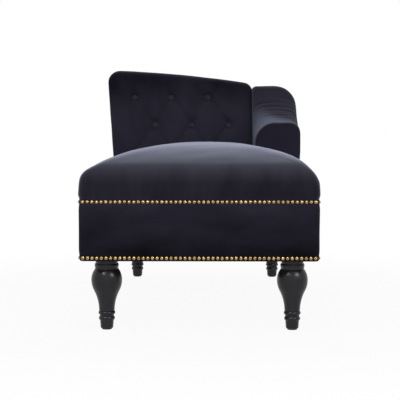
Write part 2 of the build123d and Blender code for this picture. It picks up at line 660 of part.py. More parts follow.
# Back frame: two upright panels, three planks, a front board and a rear liner, standing on the sill plate
frame_left = COVER + BACK_LEFT_FOAM - HALF_WIDTH
frame_right = BACK_RIGHT - COVER - BACK_RIGHT_FOAM
frame_rear = BASE_LENGTH - COVER - BACK_LINER
pad_depth = (COVER + BACK_FOAM) / cos(RAKE_ANGLE)
board_depth = BACK_BOARD / cos(RAKE_ANGLE)
plank_depth = PLANK / cos(RAKE_ANGLE)
frame_left_top = APRON_TOP + BACK_LEFT_TOP - COVER - BACK_TOP_FOAM
frame_right_top = APRON_TOP + BACK_RIGHT_TOP - COVER - BACK_TOP_FOAM


def back_zone(drop, z0):
    """The space of the back frame seen from the front, lowered from its sloping top."""
    return outline([
        (frame_left, z0), (frame_right, z0),
        (frame_right, frame_right_top - drop), (frame_left, frame_left_top - drop),
    ])


def raked_band(front, rear, z0, z1):
    """A slab leaning with the back, between two depths behind its front."""
    return prism_x(
        outline([
            (back_front(z0) + front, z0), (back_front(z1) + front, z1),
            (back_front(z1) + rear, z1), (back_front(z0) + rear, z0),
        ]),
        frame_left, frame_right,
    )


def square_band(front, z0, z1):
    """A slab leaning with the back in front and upright behind, as far as the frame's rear."""
    return prism_x(
        outline([
            (back_front(z0) + front, z0), (back_front(z1) + front, z1), (frame_rear, z1), (frame_rear, z0),
        ]),
        frame_left, frame_right,
    )


frame_zone = prism_y(back_zone(0, SILL_TOP), 0, 2 * BASE_LENGTH)
under_top = prism_y(back_zone(PLANK, SILL_TOP), 0, 2 * BASE_LENGTH)
behind_board = square_band(pad_depth + board_depth, SILL_TOP, HIGH) & frame_zone
left_zone = block(frame_left, frame_left + PANEL, 0, BASE_LENGTH, 0, HIGH)
right_zone = block(frame_right - PANEL, frame_right, 0, BASE_LENGTH, 0, HIGH)
between = block(frame_left + PANEL, frame_right - PANEL, 0, BASE_LENGTH, 0, HIGH)
back_board = raked_band(pad_depth, pad_depth + board_depth, SILL_TOP, HIGH) & frame_zone
middle_low = APRON_TOP + MIDDLE_PLANK_RISE
plank_front = pad_depth + board_depth
plank_back = plank_front + plank_depth
back_middle = raked_band(plank_front, plank_back, middle_low, middle_low + PLANK_WIDTH) & between
back_bottom = raked_band(plank_front, plank_back, SILL_TOP, SILL_TOP + PLANK_WIDTH) & between
back_top = (behind_board - under_top) & between
back_left_panel = behind_board & left_zone
back_right_panel = behind_board & right_zone
back_liner = prism_y(back_zone(0, RAIL_TOP), frame_rear, frame_rear + BACK_LINER)
back_core = square_band(pad_depth, RAIL_TOP, HIGH) & prism_y(back_zone(0, RAIL_TOP), 0, BASE_LENGTH)

# Dowels through the panels into the ends of the three planks
back_dowels = []
back_dowel_bores = []
plank_spots = [(back_front(z) + plank_front + plank_depth / 2, z) for z in (
    SILL_TOP + PLANK_WIDTH / 2, middle_low + PLANK_WIDTH / 2,
)]
for side, end, top in ((-1, frame_left, frame_left_top), (1, frame_right, frame_right_top)):
    top_spots = [(frame_rear - share * PLANK_WIDTH, top - PLANK / 2) for share in TOP_DOWEL_SHARES]
    for y, z in plank_spots + top_spots:
        inward = (-side, 0, 0)
        outside = (end + side * BORE_RUNOUT, y, z)
        back_dowels.append(rod((end - side * FIT, y, z), inward, DOWEL_LENGTH, DOWEL_RADIUS))
        back_dowel_bores.append(rod(outside, inward, DOWEL_LENGTH + 2 * BORE_RUNOUT, DOWEL_RADIUS + FIT))

# Arm frame: a front post, a rear panel, two side boards and a bent top board
arm_frame_left = ARM_LEFT + COVER + ARM_FOAM
arm_frame_right = ARM_RIGHT - COVER - ARM_FOAM
arm_frame_front = ARM_STATION + COVER + ARM_FOAM
arm_frame_rear = BASE_LENGTH - COVER - ARM_FOAM
front_z = APRON_TOP + ARM_FRONT_TOP
rear_z = APRON_TOP + ARM_REAR_TOP


def arm_side():
    """The arm seen from the side, with its top sweeping up from the front edge to the back."""
    angle = radians(ARM_SWEEP_ANGLE)
    both_radii = (rear_z - front_z) / (1 - cos(angle))
    sweep_radius = both_radii - ARM_CREST_RADIUS
    crest_end = ARM_STATION + both_radii * sin(angle)
    turn = (ARM_STATION + sweep_radius * sin(angle), front_z + sweep_radius * (1 - cos(angle)))
    return make_face([
        Line((ARM_STATION, LOW), (ARM_STATION, front_z)),
        TangentArc((ARM_STATION, front_z), turn, tangent=(1, 0)),
        TangentArc((crest_end, rear_z), turn, tangent=(-1, 0)),
        Line((crest_end, rear_z), (BASE_LENGTH, rear_z)),
        Line((BASE_LENGTH, rear_z), (BASE_LENGTH, LOW)),
        Line((BASE_LENGTH, LOW), (ARM_STATION, LOW)),
    ])


def arm_end():
    """The arm seen from the foot end, leaning out over the box."""
    lean = ARM_BULGE / ARM_BULGE_RISE
    bulge_z = APRON_TOP + ARM_BULGE_RISE
    face = outline([
        (ARM_LEFT, LOW), (HALF_WIDTH - lean * SKIRT, LOW), (ARM_RIGHT, bulge_z),
        (ARM_RIGHT, HIGH), (ARM_LEFT, HIGH),
    ])
    return fillet([v for v in face.vertices() if abs(v.Y - bulge_z) < NEAR], ARM_BULGE_BLEND)


def arm_roll(inset):
    """The arm's end shape with the high outer corner rolled over, a little proud of the side and the top."""
    roll_x = ARM_RIGHT + ARM_ROLL_OVER - ARM_ROLL_RADIUS
    roll_z = rear_z + ARM_ROLL_OVER - ARM_ROLL_RADIUS
    reach = ARM_ROLL_RADIUS - inset
    return make_face([
        Line((0, LOW), (roll_x + reach, LOW)),
        Line((roll_x + reach, LOW), (roll_x + reach, roll_z)),
        TangentArc((roll_x + reach, roll_z), (roll_x, roll_z + reach), tangent=(0, 1)),
        Line((roll_x, roll_z + reach), (0, roll_z + reach)),
        Line((0, roll_z + reach), (0, LOW)),
    ])


def top_edges(solid, x, height):
    """Edges along the top of the arm on one of its sides."""
    found = edges_on_plane(solid, (x, 0, 0), (1, 0, 0))
    return [e for e in found if abs((e % 0.5).Z) < STEEP and (e @ 0.5).Z > height]


def arm_form(inset):
    form = prism_x(shrunk(arm_side(), inset), -BASE_WIDTH, BASE_WIDTH)
    form &= prism_y(shrunk(arm_end(), inset), 0, 2 * BASE_LENGTH)
    height = front_z - 2 * inset - 1
    form = fillet(top_edges(form, ARM_RIGHT - inset, height), ARM_OUTER_ROUND - inset)
    form = fillet(top_edges(form, ARM_LEFT + inset, height), ARM_INNER_ROUND - inset)
    front = edges_on_plane(form, (0, ARM_STATION + inset, 0), (0, 1, 0))
    form = fillet(front, ARM_FRONT_ROUND - inset)
    rear = edges_on_plane(form, (0, BASE_LENGTH - inset, 0), (0, 1, 0))
    form = fillet(rear, CORNER_RADIUS - inset)
    return form & prism_y(arm_roll(inset), 0, 2 * BASE_LENGTH)


def arm_slab(depth):
    """The arm's side shape drawn in by a depth, as wide as the frame of the arm."""
    slab = prism_x(shrunk(arm_side(), depth), arm_frame_left, arm_frame_right)
    return upper_part(slab, SILL_TOP)


arm_core = arm_slab(COVER + ARM_FOAM)
arm_top = arm_core - arm_slab(COVER + ARM_FOAM + ARM_TOP_BOARD)
board_low = front_z - COVER - ARM_FOAM - ARM_TOP_BOARD
board_high = rear_z - COVER - ARM_FOAM - ARM_TOP_BOARD
arm_top -= block(0, BASE_WIDTH, 0, arm_frame_front + ARM_TOP_BOARD, 0, board_low)
arm_top -= block(0, BASE_WIDTH, arm_frame_rear - ARM_TOP_BOARD, BASE_LENGTH, 0, board_high)
arm_under = arm_core - arm_top
post_left = arm_frame_left + ARM_SIDE_BOARD
post_right = arm_frame_right - ARM_SIDE_BOARD
arm_post = arm_under & block(post_left, post_right, arm_frame_front, arm_frame_front + PLANK, 0, HIGH)
arm_rear_panel = arm_under & block(post_left, post_right, arm_frame_rear - PLANK, arm_frame_rear, 0, HIGH)
arm_inner_board = arm_under & block(arm_frame_left, post_left, 0, BASE_LENGTH, 0, HIGH)
arm_outer_board = arm_under & block(post_right, arm_frame_right, 0, BASE_LENGTH, 0, HIGH)

# Sill plate: one L-shaped plate under the back and the arm, screwed down to the rails
sill_front = back_front(RAIL_TOP) + pad_depth
sill_plan = outline([
    (-RAIL_OUT, frame_rear), (-RAIL_OUT, sill_front), (arm_frame_left, sill_front),
    (arm_frame_left, arm_frame_front), (RAIL_OUT, arm_frame_front), (RAIL_OUT, frame_rear),
])
sill_plan = fillet([v for v in sill_plan.vertices() if abs(v.Y - frame_rear) < NEAR], CORNER_RADIUS)
sill_plate = prism_z(sill_plan, RAIL_TOP, SILL_TOP)
rail_middle = (RAIL_IN + RAIL_OUT) / 2
head_middle = BASE_LENGTH - COVER - RAIL_THICKNESS / 2
sill_depth = frame_rear - sill_front
arm_depth = frame_rear - arm_frame_front
sill_spots = [(-rail_middle, sill_front + share * sill_depth) for share in SILL_SCREW_SHARES]
sill_spots += [(share * rail_middle, head_middle) for share in HEAD_SCREW_SHARES]
sill_spots += [(rail_middle, arm_frame_front + share * arm_depth) for share in ARM_SCREW_SHARES]
sill_screws = []
sill_bores = []
for x, y in sill_spots:
    tip = (x, y, SILL_TOP - SILL_SCREW_LENGTH)
    sill_screws.append(screw(tip, (0, 0, 1), SILL_SCREW_LENGTH))
    sill_bores.append(screw_bore(tip, (0, 0, 1), SILL_SCREW_LENGTH, SCREW_HEAD_HEIGHT))
panel_spots = [
    (x, sill_front + share * sill_depth)
    for x in (frame_left + PANEL / 2, frame_right - PANEL / 2) for share in PANEL_SCREW_SHARES
]
post_width = post_right - post_left
panel_spots += [
    (post_left + share * post_width, y)
    for y in (arm_frame_front + PLANK / 2, arm_frame_rear - PLANK / 2) for share in POST_SCREW_SHARES
]
panel_screws = []
panel_bores = []
for x, y in panel_spots:
    tip = (x, y, RAIL_TOP + SILL_SCREW_LENGTH)
    panel_screws.append(screw(tip, (0, 0, -1), SILL_SCREW_LENGTH))
    panel_bores.append(screw_bore(tip, (0, 0, -1), SILL_SCREW_LENGTH, SCREW_HEAD_HEIGHT))

save("foot_rail", foot_rail)
save("left_rail", left_rail - sill_bores)
save("right_rail", right_rail - sill_bores)
save("head_rail", head_rail - sill_bores)
save("sill_plate", sill_plate - sill_bores - panel_bores)
save("sill_screws", *sill_screws)
save("panel_screws", *panel_screws)
save("back_left_panel", back_left_panel - back_dowel_bores - panel_bores)
save("back_right_panel", back_right_panel - back_dowel_bores - panel_bores)
save("back_top_plank", back_top - back_dowel_bores)
save("back_middle_plank", back_middle - back_dowel_bores)
save("back_bottom_plank", back_bottom - back_dowel_bores)
save("back_dowels", *back_dowels)
save("back_board", back_board - twine_bores)
save("back_liner", back_liner)
save("arm_post", arm_post - panel_bores)
save("arm_rear_panel", arm_rear_panel - panel_bores)
save("arm_inner_board", arm_inner_board)
save("arm_outer_board", arm_outer_board)
save("arm_top_board", arm_top)

# Back pad and cover
back_inner = back_form(COVER) - tuft_tools(COVER)
back_outer = back_form(0) - tuft_tools(0)
back_cover = upper_part(back_outer - back_inner, APRON_TOP) - base_core
save("back_cover", back_cover - sill_plate - twine_bores)
save("back_foam", upper_part(back_inner, RAIL_TOP) - back_core - back_liner - sill_plate - twine_bores)

# Arm pad, cover and front facing
facing_low = RAIL_TOP + COVER
facing_left = ARM_LEFT + FACING_INSET
facing_right = ARM_RIGHT - FACING_INSET
facing_top = front_z - FACING_INSET
facing_corners = [
    (facing_left, facing_low), (facing_right, facing_low),
    (facing_right, facing_top), (facing_left, facing_top),
]
facing_shape = outline(facing_corners)
left_corner = facing_shape.vertices().sort_by_distance((facing_left, facing_top, 0))[0]
facing_shape = fillet(left_corner, ARM_INNER_ROUND - FACING_INSET)
right_corner = facing_shape.vertices().sort_by_distance((facing_right, facing_top, 0))[0]
facing_shape = fillet(right_corner, ARM_OUTER_ROUND - FACING_INSET)
arm_facing = prism_y(facing_shape, ARM_STATION, ARM_STATION + COVER)
facing_hole = prism_y(offset(facing_shape, FIT), ARM_STATION - COVER, ARM_STATION + COVER)
arm_inner = arm_form(COVER)
save("arm_cover", upper_part(arm_form(0) - arm_inner, APRON_TOP) - base_core - sill_plate - facing_hole)
save("arm_foam", upper_part(arm_inner, RAIL_TOP) - arm_core - sill_plate)
save("arm_facing", arm_facing)
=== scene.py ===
import math

import bpy
import numpy as np
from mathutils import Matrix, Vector


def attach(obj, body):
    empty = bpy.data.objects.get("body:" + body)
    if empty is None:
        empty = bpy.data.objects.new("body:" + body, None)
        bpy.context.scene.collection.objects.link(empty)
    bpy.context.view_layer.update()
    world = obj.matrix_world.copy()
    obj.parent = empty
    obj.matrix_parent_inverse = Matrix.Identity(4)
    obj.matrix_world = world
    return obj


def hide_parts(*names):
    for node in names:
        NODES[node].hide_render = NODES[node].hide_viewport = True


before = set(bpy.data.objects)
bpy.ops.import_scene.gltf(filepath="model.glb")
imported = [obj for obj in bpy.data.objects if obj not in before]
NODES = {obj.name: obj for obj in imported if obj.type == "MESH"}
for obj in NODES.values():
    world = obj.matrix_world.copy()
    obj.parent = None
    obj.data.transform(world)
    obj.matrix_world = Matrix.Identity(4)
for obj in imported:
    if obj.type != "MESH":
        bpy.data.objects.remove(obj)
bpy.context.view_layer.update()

MM = 0.001

# Sizes that repeat the part's source, in millimetres.
# x runs from the middle of the box, s from its foot face and z from the floor.
BASE_X = 10.5
FOOT_Y = -708
HALF_WIDTH = 340
BASE_LENGTH = 1420
LEG_HEIGHT = 204
HEM = 379
RAIL_TOP = 386.3
CORNER_RADIUS = 16
SEAT_BULGE = 4
SEAT_BULGE_Z = 400
SEAT_CROWN_Z = 538
SEAT_RISE = 340
BACK_STATION = 1151
BACK_RAKE = 0.133
RAKE_COS = math.cos(math.atan(BACK_RAKE))
BACK_RIGHT = 183.4
ARM_LEFT = 184
ARM_STATION = 911
ARM_FRONT_Z = 609
ARM_REAR_Z = 753
ARM_SWEEP_RADIUS = 314.2
ARM_TOP_RADIUS = 50
SWEEP_END = 1161.3
ARM_CREST = 1201.1
UPPER_NAILS_Z = 372
LOWER_NAILS_Z = 213
UPPER_TUFTS = [(-266.5, 708), (-126.5, 708), (13.5, 708)]
LOWER_TUFTS = [(-187.5, 602), (-47.5, 602), (92.5, 602)]

# Values of the tools below
RIPPLE_WAVES = 6
PROBE = 0.4
SETTLE_ROUNDS = 3
SETTLE_REACH = 4.0
LEAST_STEEPNESS = 0.2
CLOTH_FRAMES = 12
CLOTH_QUALITY = 3
CLOTH_STIFFNESS = 25
CLOTH_SHEAR = 12
CLOTH_BENDING = 1.5


# Small tools
def ease(t):
    t = np.clip(t, 0, 1)
    return t * t * (3 - 2 * t)


def round_max(a, b, radius):
    """Where two fields are both below zero, with the edge between them rounded to a radius."""
    over = np.hypot(np.maximum(a + radius, 0), np.maximum(b + radius, 0))
    return np.minimum(np.maximum(a, b), -radius) + over


def smooth_min(a, b, width):
    mix = np.maximum(width - np.abs(a - b), 0) / width
    return np.minimum(a, b) - mix * mix * width / 4


def ripple(x, y, z, scale, seed):
    """A gentle, repeatable unevenness between about -1 and 1, with waves about a scale across."""
    rng = np.random.default_rng(seed)
    total = np.zeros_like(x + y + z, dtype=float)
    for _ in range(RIPPLE_WAVES):
        way = rng.normal(size=3)
        way *= rng.uniform(0.6, 1.5) * 2 * math.pi / scale / np.linalg.norm(way)
        total += np.sin(way[0] * x + way[1] * y + way[2] * z + rng.uniform(0, 2 * math.pi))
    return 2 * total / RIPPLE_WAVES


def to_frame(points):
    return (np.asarray(points, float) + np.array([BASE_X, FOOT_Y, 0])) * MM


def from_frame(points):
    return np.asarray(points, float) / MM - np.array([BASE_X, FOOT_Y, 0])


def add_mesh(name, points, faces):
    """A new smooth mesh object from millimetre points."""
    mesh = bpy.data.meshes.new(name)
    mesh.from_pydata(to_frame(points).tolist(), [], [list(map(int, f)) for f in faces])
    mesh.validate()
    mesh.polygons.foreach_set("use_smooth", [True] * len(mesh.polygons))
    mesh.update()
    obj = bpy.data.objects.new(name, mesh)
    bpy.context.scene.collection.objects.link(obj)
    return obj


def read_points(obj):
    flat = np.zeros(len(obj.data.vertices) * 3)
    obj.data.vertices.foreach_get("co", flat)
    return from_frame(flat.reshape(-1, 3))


def read_normals(obj):
    flat = np.zeros(len(obj.data.vertices) * 3)
    obj.data.vertices.foreach_get("normal", flat)
    return flat.reshape(-1, 3)


def write_points(obj, points):
    obj.data.vertices.foreach_set("co", to_frame(points).ravel())
    obj.data.update()


def net(field, low, high, step):
    """Quads on the zero surface of a field, one point in each cell that the surface passes through."""
    low = np.array(low, float)
    count = np.ceil((np.array(high, float) - low) / step).astype(int) + 1
    axes = [low[i] + step * np.arange(count[i]) for i in range(3)]
    value = field(*np.meshgrid(*axes, indexing="ij"))
    total = np.zeros((*(count - 1), 3))
    hits = np.zeros(count - 1)
    rings = []
    for axis in range(3):
        lower = [slice(None)] * 3
        upper = [slice(None)] * 3
        lower[axis] = slice(0, -1)
        upper[axis] = slice(1, None)
        a = value[tuple(lower)]
        b = value[tuple(upper)]
        cross = (a < 0) != (b < 0)
        spot = np.argwhere(cross)
        place = low + step * spot
        place[:, axis] += step * (a[cross] / (a[cross] - b[cross]))
        one, two = (axis + 1) % 3, (axis + 2) % 3
        ring = []
        for d1, d2 in ((-1, -1), (0, -1), (0, 0), (-1, 0)):
            cell = spot.copy()
            cell[:, one] += d1
            cell[:, two] += d2
            np.add.at(total, tuple(cell.T), place)
            np.add.at(hits, tuple(cell.T), 1)
            ring.append(cell)
        rings.append((ring, a[cross] < 0))
    used = hits > 0
    number = np.full(hits.shape, -1)
    number[used] = np.arange(used.sum())
    points = total[used] / hits[used][:, None]
    faces = []
    for ring, outward in rings:
        quad = np.stack([number[tuple(c.T)] for c in ring], axis=1)
        quad[~outward] = quad[~outward][:, ::-1]
        faces.append(quad)
    return points, np.concatenate(faces)


def settle(points, field):
    """Moves points onto the zero surface of a field."""
    points = points.copy()
    h = PROBE
    for _ in range(SETTLE_ROUNDS):
        x, s, z = points.T
        f = field(x, s, z)
        g = np.stack([
            field(x + h, s, z) - field(x - h, s, z),
            field(x, s + h, z) - field(x, s - h, z),
            field(x, s, z + h) - field(x, s, z - h),
        ], axis=1) / (2 * h)
        size = np.maximum((g * g).sum(1), LEAST_STEEPNESS)
        points -= np.clip(f / size, -SETTLE_REACH, SETTLE_REACH)[:, None] * g
    return points


def relax(points, faces, rounds):
    """Evens out the spacing of a net's points."""
    pairs = np.concatenate([faces[:, [i, (i + 1) % 4]] for i in range(4)])
    for _ in range(rounds):
        total = np.zeros_like(points)
        number = np.zeros(len(points))
        np.add.at(total, pairs[:, 0], points[pairs[:, 1]])
        np.add.at(number, pairs[:, 0], 1)
        points = 0.5 * points + 0.5 * total / np.maximum(number, 1)[:, None]
    return points


def apply_modifiers(obj):
    bpy.context.view_layer.update()
    result = bpy.data.meshes.new_from_object(obj.evaluated_get(bpy.context.evaluated_depsgraph_get()))
    old = obj.data
    obj.modifiers.clear()
    obj.data = result
    result.name = obj.name
    bpy.data.meshes.remove(old)


def puff(obj, pinned, pressure, cap):
    """Blows a pad up a little as cloth, held where it is nailed or tucked in, and keeps the result."""
    start = read_points(obj)
    group = obj.vertex_groups.new(name="held")
    group.add([int(i) for i in np.flatnonzero(pinned)], 1.0, "REPLACE")
    cloth = obj.modifiers.new("cloth", "CLOTH")
    cloth.settings.quality = CLOTH_QUALITY
    cloth.settings.use_pressure = True
    cloth.settings.uniform_pressure_force = pressure
    cloth.settings.vertex_group_mass = "held"
    cloth.settings.tension_stiffness = CLOTH_STIFFNESS
    cloth.settings.compression_stiffness = CLOTH_STIFFNESS
    cloth.settings.shear_stiffness = CLOTH_SHEAR
    cloth.settings.bending_stiffness = CLOTH_BENDING
    cloth.settings.effector_weights.gravity = 0
    cloth.collision_settings.use_collision = False
    scene = bpy.context.scene
    cloth.point_cache.frame_start = 1
    cloth.point_cache.frame_end = CLOTH_FRAMES
    for number in range(1, CLOTH_FRAMES + 1):
        scene.frame_set(number)
    apply_modifiers(obj)
    scene.frame_set(1)
    moved = read_points(obj) - start
    length = np.maximum(np.linalg.norm(moved, axis=1), 1e-9)
    moved *= (cap * np.tanh(length / cap) / length)[:, None]
    write_points(obj, start + moved)
    obj.vertex_groups.clear()


def subdivide(obj):
    modifier = obj.modifiers.new("fine", "SUBSURF")
    modifier.levels = 1
    modifier.render_levels = 1
    apply_modifiers(obj)
    obj.data.polygons.foreach_set("use_smooth", [True] * len(obj.data.polygons))


def press(obj, depth):
    """Moves each point of a piece along its normal by a depth in millimetres."""
    points = read_points(obj)
    normals = read_normals(obj)
    write_points(obj, points + normals * depth(points, normals)[:, None])


def paint(obj, material):
    obj.data.materials.clear()
    obj.data.materials.append(material)
    obj.data.polygons.foreach_set("material_index", [0] * len(obj.data.polygons))


# What the shapes of the pads share
TURN_LENGTH = 60
BACK_FOOT_Z = 386
REAR_RADIUS = 16
JOINT_RADIUS = 2
JOINT_REACH = 60
JOINT_FADE = 40


def turn(a, b, lead):
    """Runs from 0 to 1 where the nearer one of two faces changes from b to a."""
    return ease((a - b + lead) / TURN_LENGTH)


def back_front(z):
    return BACK_STATION + BACK_RAKE * (z - BACK_FOOT_Z)


def rear_radius(away):
    """Radius of a pad's rear edge, which is nearly sharp towards the joint of back and arm."""
    return REAR_RADIUS + (JOINT_RADIUS - REAR_RADIUS) * ease((JOINT_REACH - away) / JOINT_FADE)


# Shape of the seat: fuller at its shoulders than the solid, and steeper at its left
SEAT_DRAW_LOW = 110
SEAT_DRAW_SIDE = 374
SEAT_DRAW_FRONT = 700
SEAT_TOP_ACROSS = SEAT_CROWN_Z - 2
SEAT_TOP_ALONG = SEAT_CROWN_Z + 6
SEAT_FALL_LEFT = 0.000713
SEAT_FALL_RIGHT = 0.000606
SHOULDER = 230
SHOULDER_LEFT = 6.5
SHOULDER_RIGHT = 8.0
SHOULDER_END = 265
SHOULDER_FADE = 75
SEAT_DROP = 79
SEAT_DROP_POWER = 2.5
SEAT_TOP_BLEND = 14
SEAT_PLAN_RADIUS = 17
SEAT_EDGE_LEFT = 14
SEAT_EDGE_RIGHT = 38
SEAT_EDGE_FRONT = 30
SEAT_EDGE_SPAN = 240
SEAT_EDGE_SHIFT = 0.3
SEAT_EDGE_LEAD = 20
SEAT_JOINT_GAP = 1
SEAT_JOINT_RADIUS = 8


def drawn_in(z, slowness):
    """How far the seat's side or front lies behind its bulge."""
    lift = z - SEAT_BULGE_Z
    return lift * lift / np.where(lift < 0, SEAT_DRAW_LOW, slowness)


def seat_height(x, s):
    """Height of the seat's top, and how steep it is."""
    fall = np.where(x < 0, SEAT_FALL_LEFT, SEAT_FALL_RIGHT)
    share = (x / SHOULDER) ** 2
    fuller = np.where(x < 0, SHOULDER_LEFT, SHOULDER_RIGHT) * share * np.exp(1 - share)
    fade = 1 - ease((np.abs(x) - SHOULDER_END) / SHOULDER_FADE)
    across = SEAT_TOP_ACROSS - fall * x * x + fuller * fade
    ahead = np.clip(1 - s / SEAT_RISE, 0, None)
    along = SEAT_TOP_ALONG - SEAT_DROP * ahead**SEAT_DROP_POWER
    steep = SEAT_DROP_POWER * SEAT_DROP / SEAT_RISE * ahead ** (SEAT_DROP_POWER - 1)
    return smooth_min(across, along, SEAT_TOP_BLEND), np.maximum(2 * fall * np.abs(x), steep)


def seat_field(x, s, z):
    side = np.abs(x) - (HALF_WIDTH + SEAT_BULGE - drawn_in(z, SEAT_DRAW_SIDE))
    front = -SEAT_BULGE + drawn_in(z, SEAT_DRAW_FRONT) - s
    height, slope = seat_height(x, s)
    top = (z - height) / np.sqrt(1 + slope * slope)
    rightward = ease(x / SEAT_EDGE_SPAN + SEAT_EDGE_SHIFT)
    edge = SEAT_EDGE_LEFT + (SEAT_EDGE_RIGHT - SEAT_EDGE_LEFT) * rightward
    edge = edge + (SEAT_EDGE_FRONT - edge) * turn(front, side, SEAT_EDGE_LEAD)
    form = round_max(round_max(side, front, SEAT_PLAN_RADIUS), top, edge)
    at_back = (s - back_front(z) + SEAT_JOINT_GAP) * RAKE_COS
    at_arm = np.minimum(x - ARM_LEFT + SEAT_JOINT_GAP, s - ARM_STATION + SEAT_JOINT_GAP)
    form = round_max(form, at_back, SEAT_JOINT_RADIUS)
    form = round_max(form, at_arm, SEAT_JOINT_RADIUS)
    return np.maximum(form, RAIL_TOP - z)


# Shape of the back
BACK_FLARE = 33
BACK_FLARE_HEIGHT = 433
BACK_TOP_Z = 812
BACK_TOP_LEFT = -373
BACK_TOP_SPAN = 556.4
BACK_TOP_FALL = 52
BACK_TOP_BOW = 36
BACK_FULLNESS = 5
BACK_MIDDLE_X = -95
BACK_MIDDLE_Z = 600
BACK_HALF_SPAN = 275
BACK_HALF_HEIGHT = 230
BACK_LEFT_RADIUS = 50
BACK_RIGHT_RADIUS = 30
BACK_EDGE = 15
BACK_TOP_EDGE = 23
BACK_EDGE_LEAD = 30
TUFT_DEPTH = 15
TUFT_WIDTH = 24
TUFT_POWER = 1.5


def back_left(z):
    return -HALF_WIDTH - BACK_FLARE * (z - HEM) / BACK_FLARE_HEIGHT


def back_top(x):
    t = (x - BACK_TOP_LEFT) / BACK_TOP_SPAN
    return BACK_TOP_Z - BACK_TOP_FALL * t + BACK_TOP_BOW * t * (1 - t)


def tuft_depth(x, z):
    """How far the tufting draws the front of the back in."""
    depth = np.zeros_like(x + z, dtype=float)
    for tx, tz in UPPER_TUFTS + LOWER_TUFTS:
        away = np.hypot(x - tx, z - tz) / TUFT_WIDTH
        depth = np.maximum(depth, TUFT_DEPTH * np.exp(-(away**TUFT_POWER)))
    return depth


def back_field(x, s, z):
    across = np.clip(1 - ((x - BACK_MIDDLE_X) / BACK_HALF_SPAN) ** 4, 0, 1)
    upward = np.clip(1 - ((z - BACK_MIDDLE_Z) / BACK_HALF_HEIGHT) ** 4, 0, 1)
    front = (back_front(z) - s) * RAKE_COS - BACK_FULLNESS * across * upward + tuft_depth(x, z)
    left = back_left(z) - x
    right = x - BACK_RIGHT
    top = z - back_top(x)
    sides = round_max(round_max(left, top, BACK_LEFT_RADIUS), right, BACK_RIGHT_RADIUS)
    edge = BACK_EDGE + (BACK_TOP_EDGE - BACK_EDGE) * turn(top, np.maximum(left, right), BACK_EDGE_LEAD)
    form = round_max(sides, front, edge)
    form = round_max(form, s - BASE_LENGTH, rear_radius(BACK_RIGHT - x))
    return np.maximum(form, RAIL_TOP - z)


# Shape of the arm: its roll is a little tighter than the solid's
ARM_BULGE = 12
ARM_BULGE_RISE = 150
ARM_BULGE_SHIFT = 0.12
ARM_ROLL_RADIUS = 92
ARM_ROLL_BLEND = 12
ARM_INNER_FRONT_RADIUS = 74
ARM_INNER_REAR_RADIUS = 16
ARM_INNER_STATION = 960
ARM_INNER_LENGTH = 240
ARM_OUTER_RADIUS = 44
ARM_FRONT_EDGE = 5


def arm_top(s):
    """Height and slope of the arm's top, which sweeps up from the front to the height of the back."""
    run = np.clip(s - ARM_STATION, 0, SWEEP_END - ARM_STATION)
    drop = np.sqrt(ARM_SWEEP_RADIUS**2 - run * run)
    low = ARM_FRONT_Z + ARM_SWEEP_RADIUS - drop
    last = np.clip(ARM_CREST - s, 0, ARM_CREST - SWEEP_END)
    hump = np.sqrt(ARM_TOP_RADIUS**2 - last * last)
    high = ARM_REAR_Z - ARM_TOP_RADIUS + hump
    return np.where(s < SWEEP_END, low, high), np.where(s < SWEEP_END, run / drop, last / hump)


def arm_outer(z):
    return HALF_WIDTH + ARM_BULGE * ease((z - HEM) / ARM_BULGE_RISE + ARM_BULGE_SHIFT)


def arm_field(x, s, z):
    height, slope = arm_top(s)
    top = (z - height) / np.sqrt(1 + slope * slope)
    inner = ARM_LEFT - x
    outer = x - arm_outer(z)
    rearward = ease((s - ARM_INNER_STATION) / ARM_INNER_LENGTH)
    inner_radius = ARM_INNER_FRONT_RADIUS + (ARM_INNER_REAR_RADIUS - ARM_INNER_FRONT_RADIUS) * rearward
    sides = round_max(round_max(inner, top, inner_radius), outer, ARM_OUTER_RADIUS)
    roll = round_max(outer, z - ARM_REAR_Z, ARM_ROLL_RADIUS)
    sides = -smooth_min(-sides, -roll, ARM_ROLL_BLEND)
    form = round_max(sides, ARM_STATION - s, ARM_FRONT_EDGE)
    form = round_max(form, s - BASE_LENGTH, rear_radius(x - ARM_LEFT))
    return np.maximum(form, RAIL_TOP - z)


# Making a pad from its shape
RIM_HEIGHT = 2
HEM_GAP = 0.2
HEM_REACH = 1
UPRIGHT_ABOVE = 12
SHARPEN_REACH = 6
RELAX_ROUNDS = 2


def tuck_hem(points, outside):
    """Draws the lower rim of a pad down over the rails to the hem, where it shows, flush with the box."""
    rim = (points[:, 2] < RAIL_TOP + RIM_HEIGHT) & outside
    middle = np.array([0, BASE_LENGTH / 2])
    face = np.array([HALF_WIDTH, BASE_LENGTH / 2])
    core = face - CORNER_RADIUS
    way = points[rim, :2] - middle
    past = np.abs(way) - core
    nearer = np.where(past[:, 0] > past[:, 1], 0, 1)
    on_face = np.abs(way)
    on_face[np.arange(len(way)), nearer] = face[nearer]
    length = np.maximum(np.linalg.norm(np.maximum(past, 0), axis=1), 1e-6)
    on_corner = core + np.maximum(past, 0) * (CORNER_RADIUS / length)[:, None]
    at_corner = (past > 0).all(axis=1)
    points[rim, :2] = middle + np.sign(way) * np.where(at_corner[:, None], on_corner, on_face)
    points[rim, 2] = HEM + HEM_GAP
    return points


def hem_edges(obj):
    rim = read_points(obj)[:, 2] < HEM + HEM_REACH
    ends = np.zeros(len(obj.data.edges) * 2, int)
    obj.data.edges.foreach_get("vertices", ends)
    return rim[ends.reshape(-1, 2)].all(axis=1)


def crease_hem(obj):
    """Keeps the hem a sharp edge when the pad is divided more finely."""
    crease = obj.data.attributes.new("crease_edge", "FLOAT", "EDGE")
    crease.data.foreach_set("value", hem_edges(obj).astype(float))


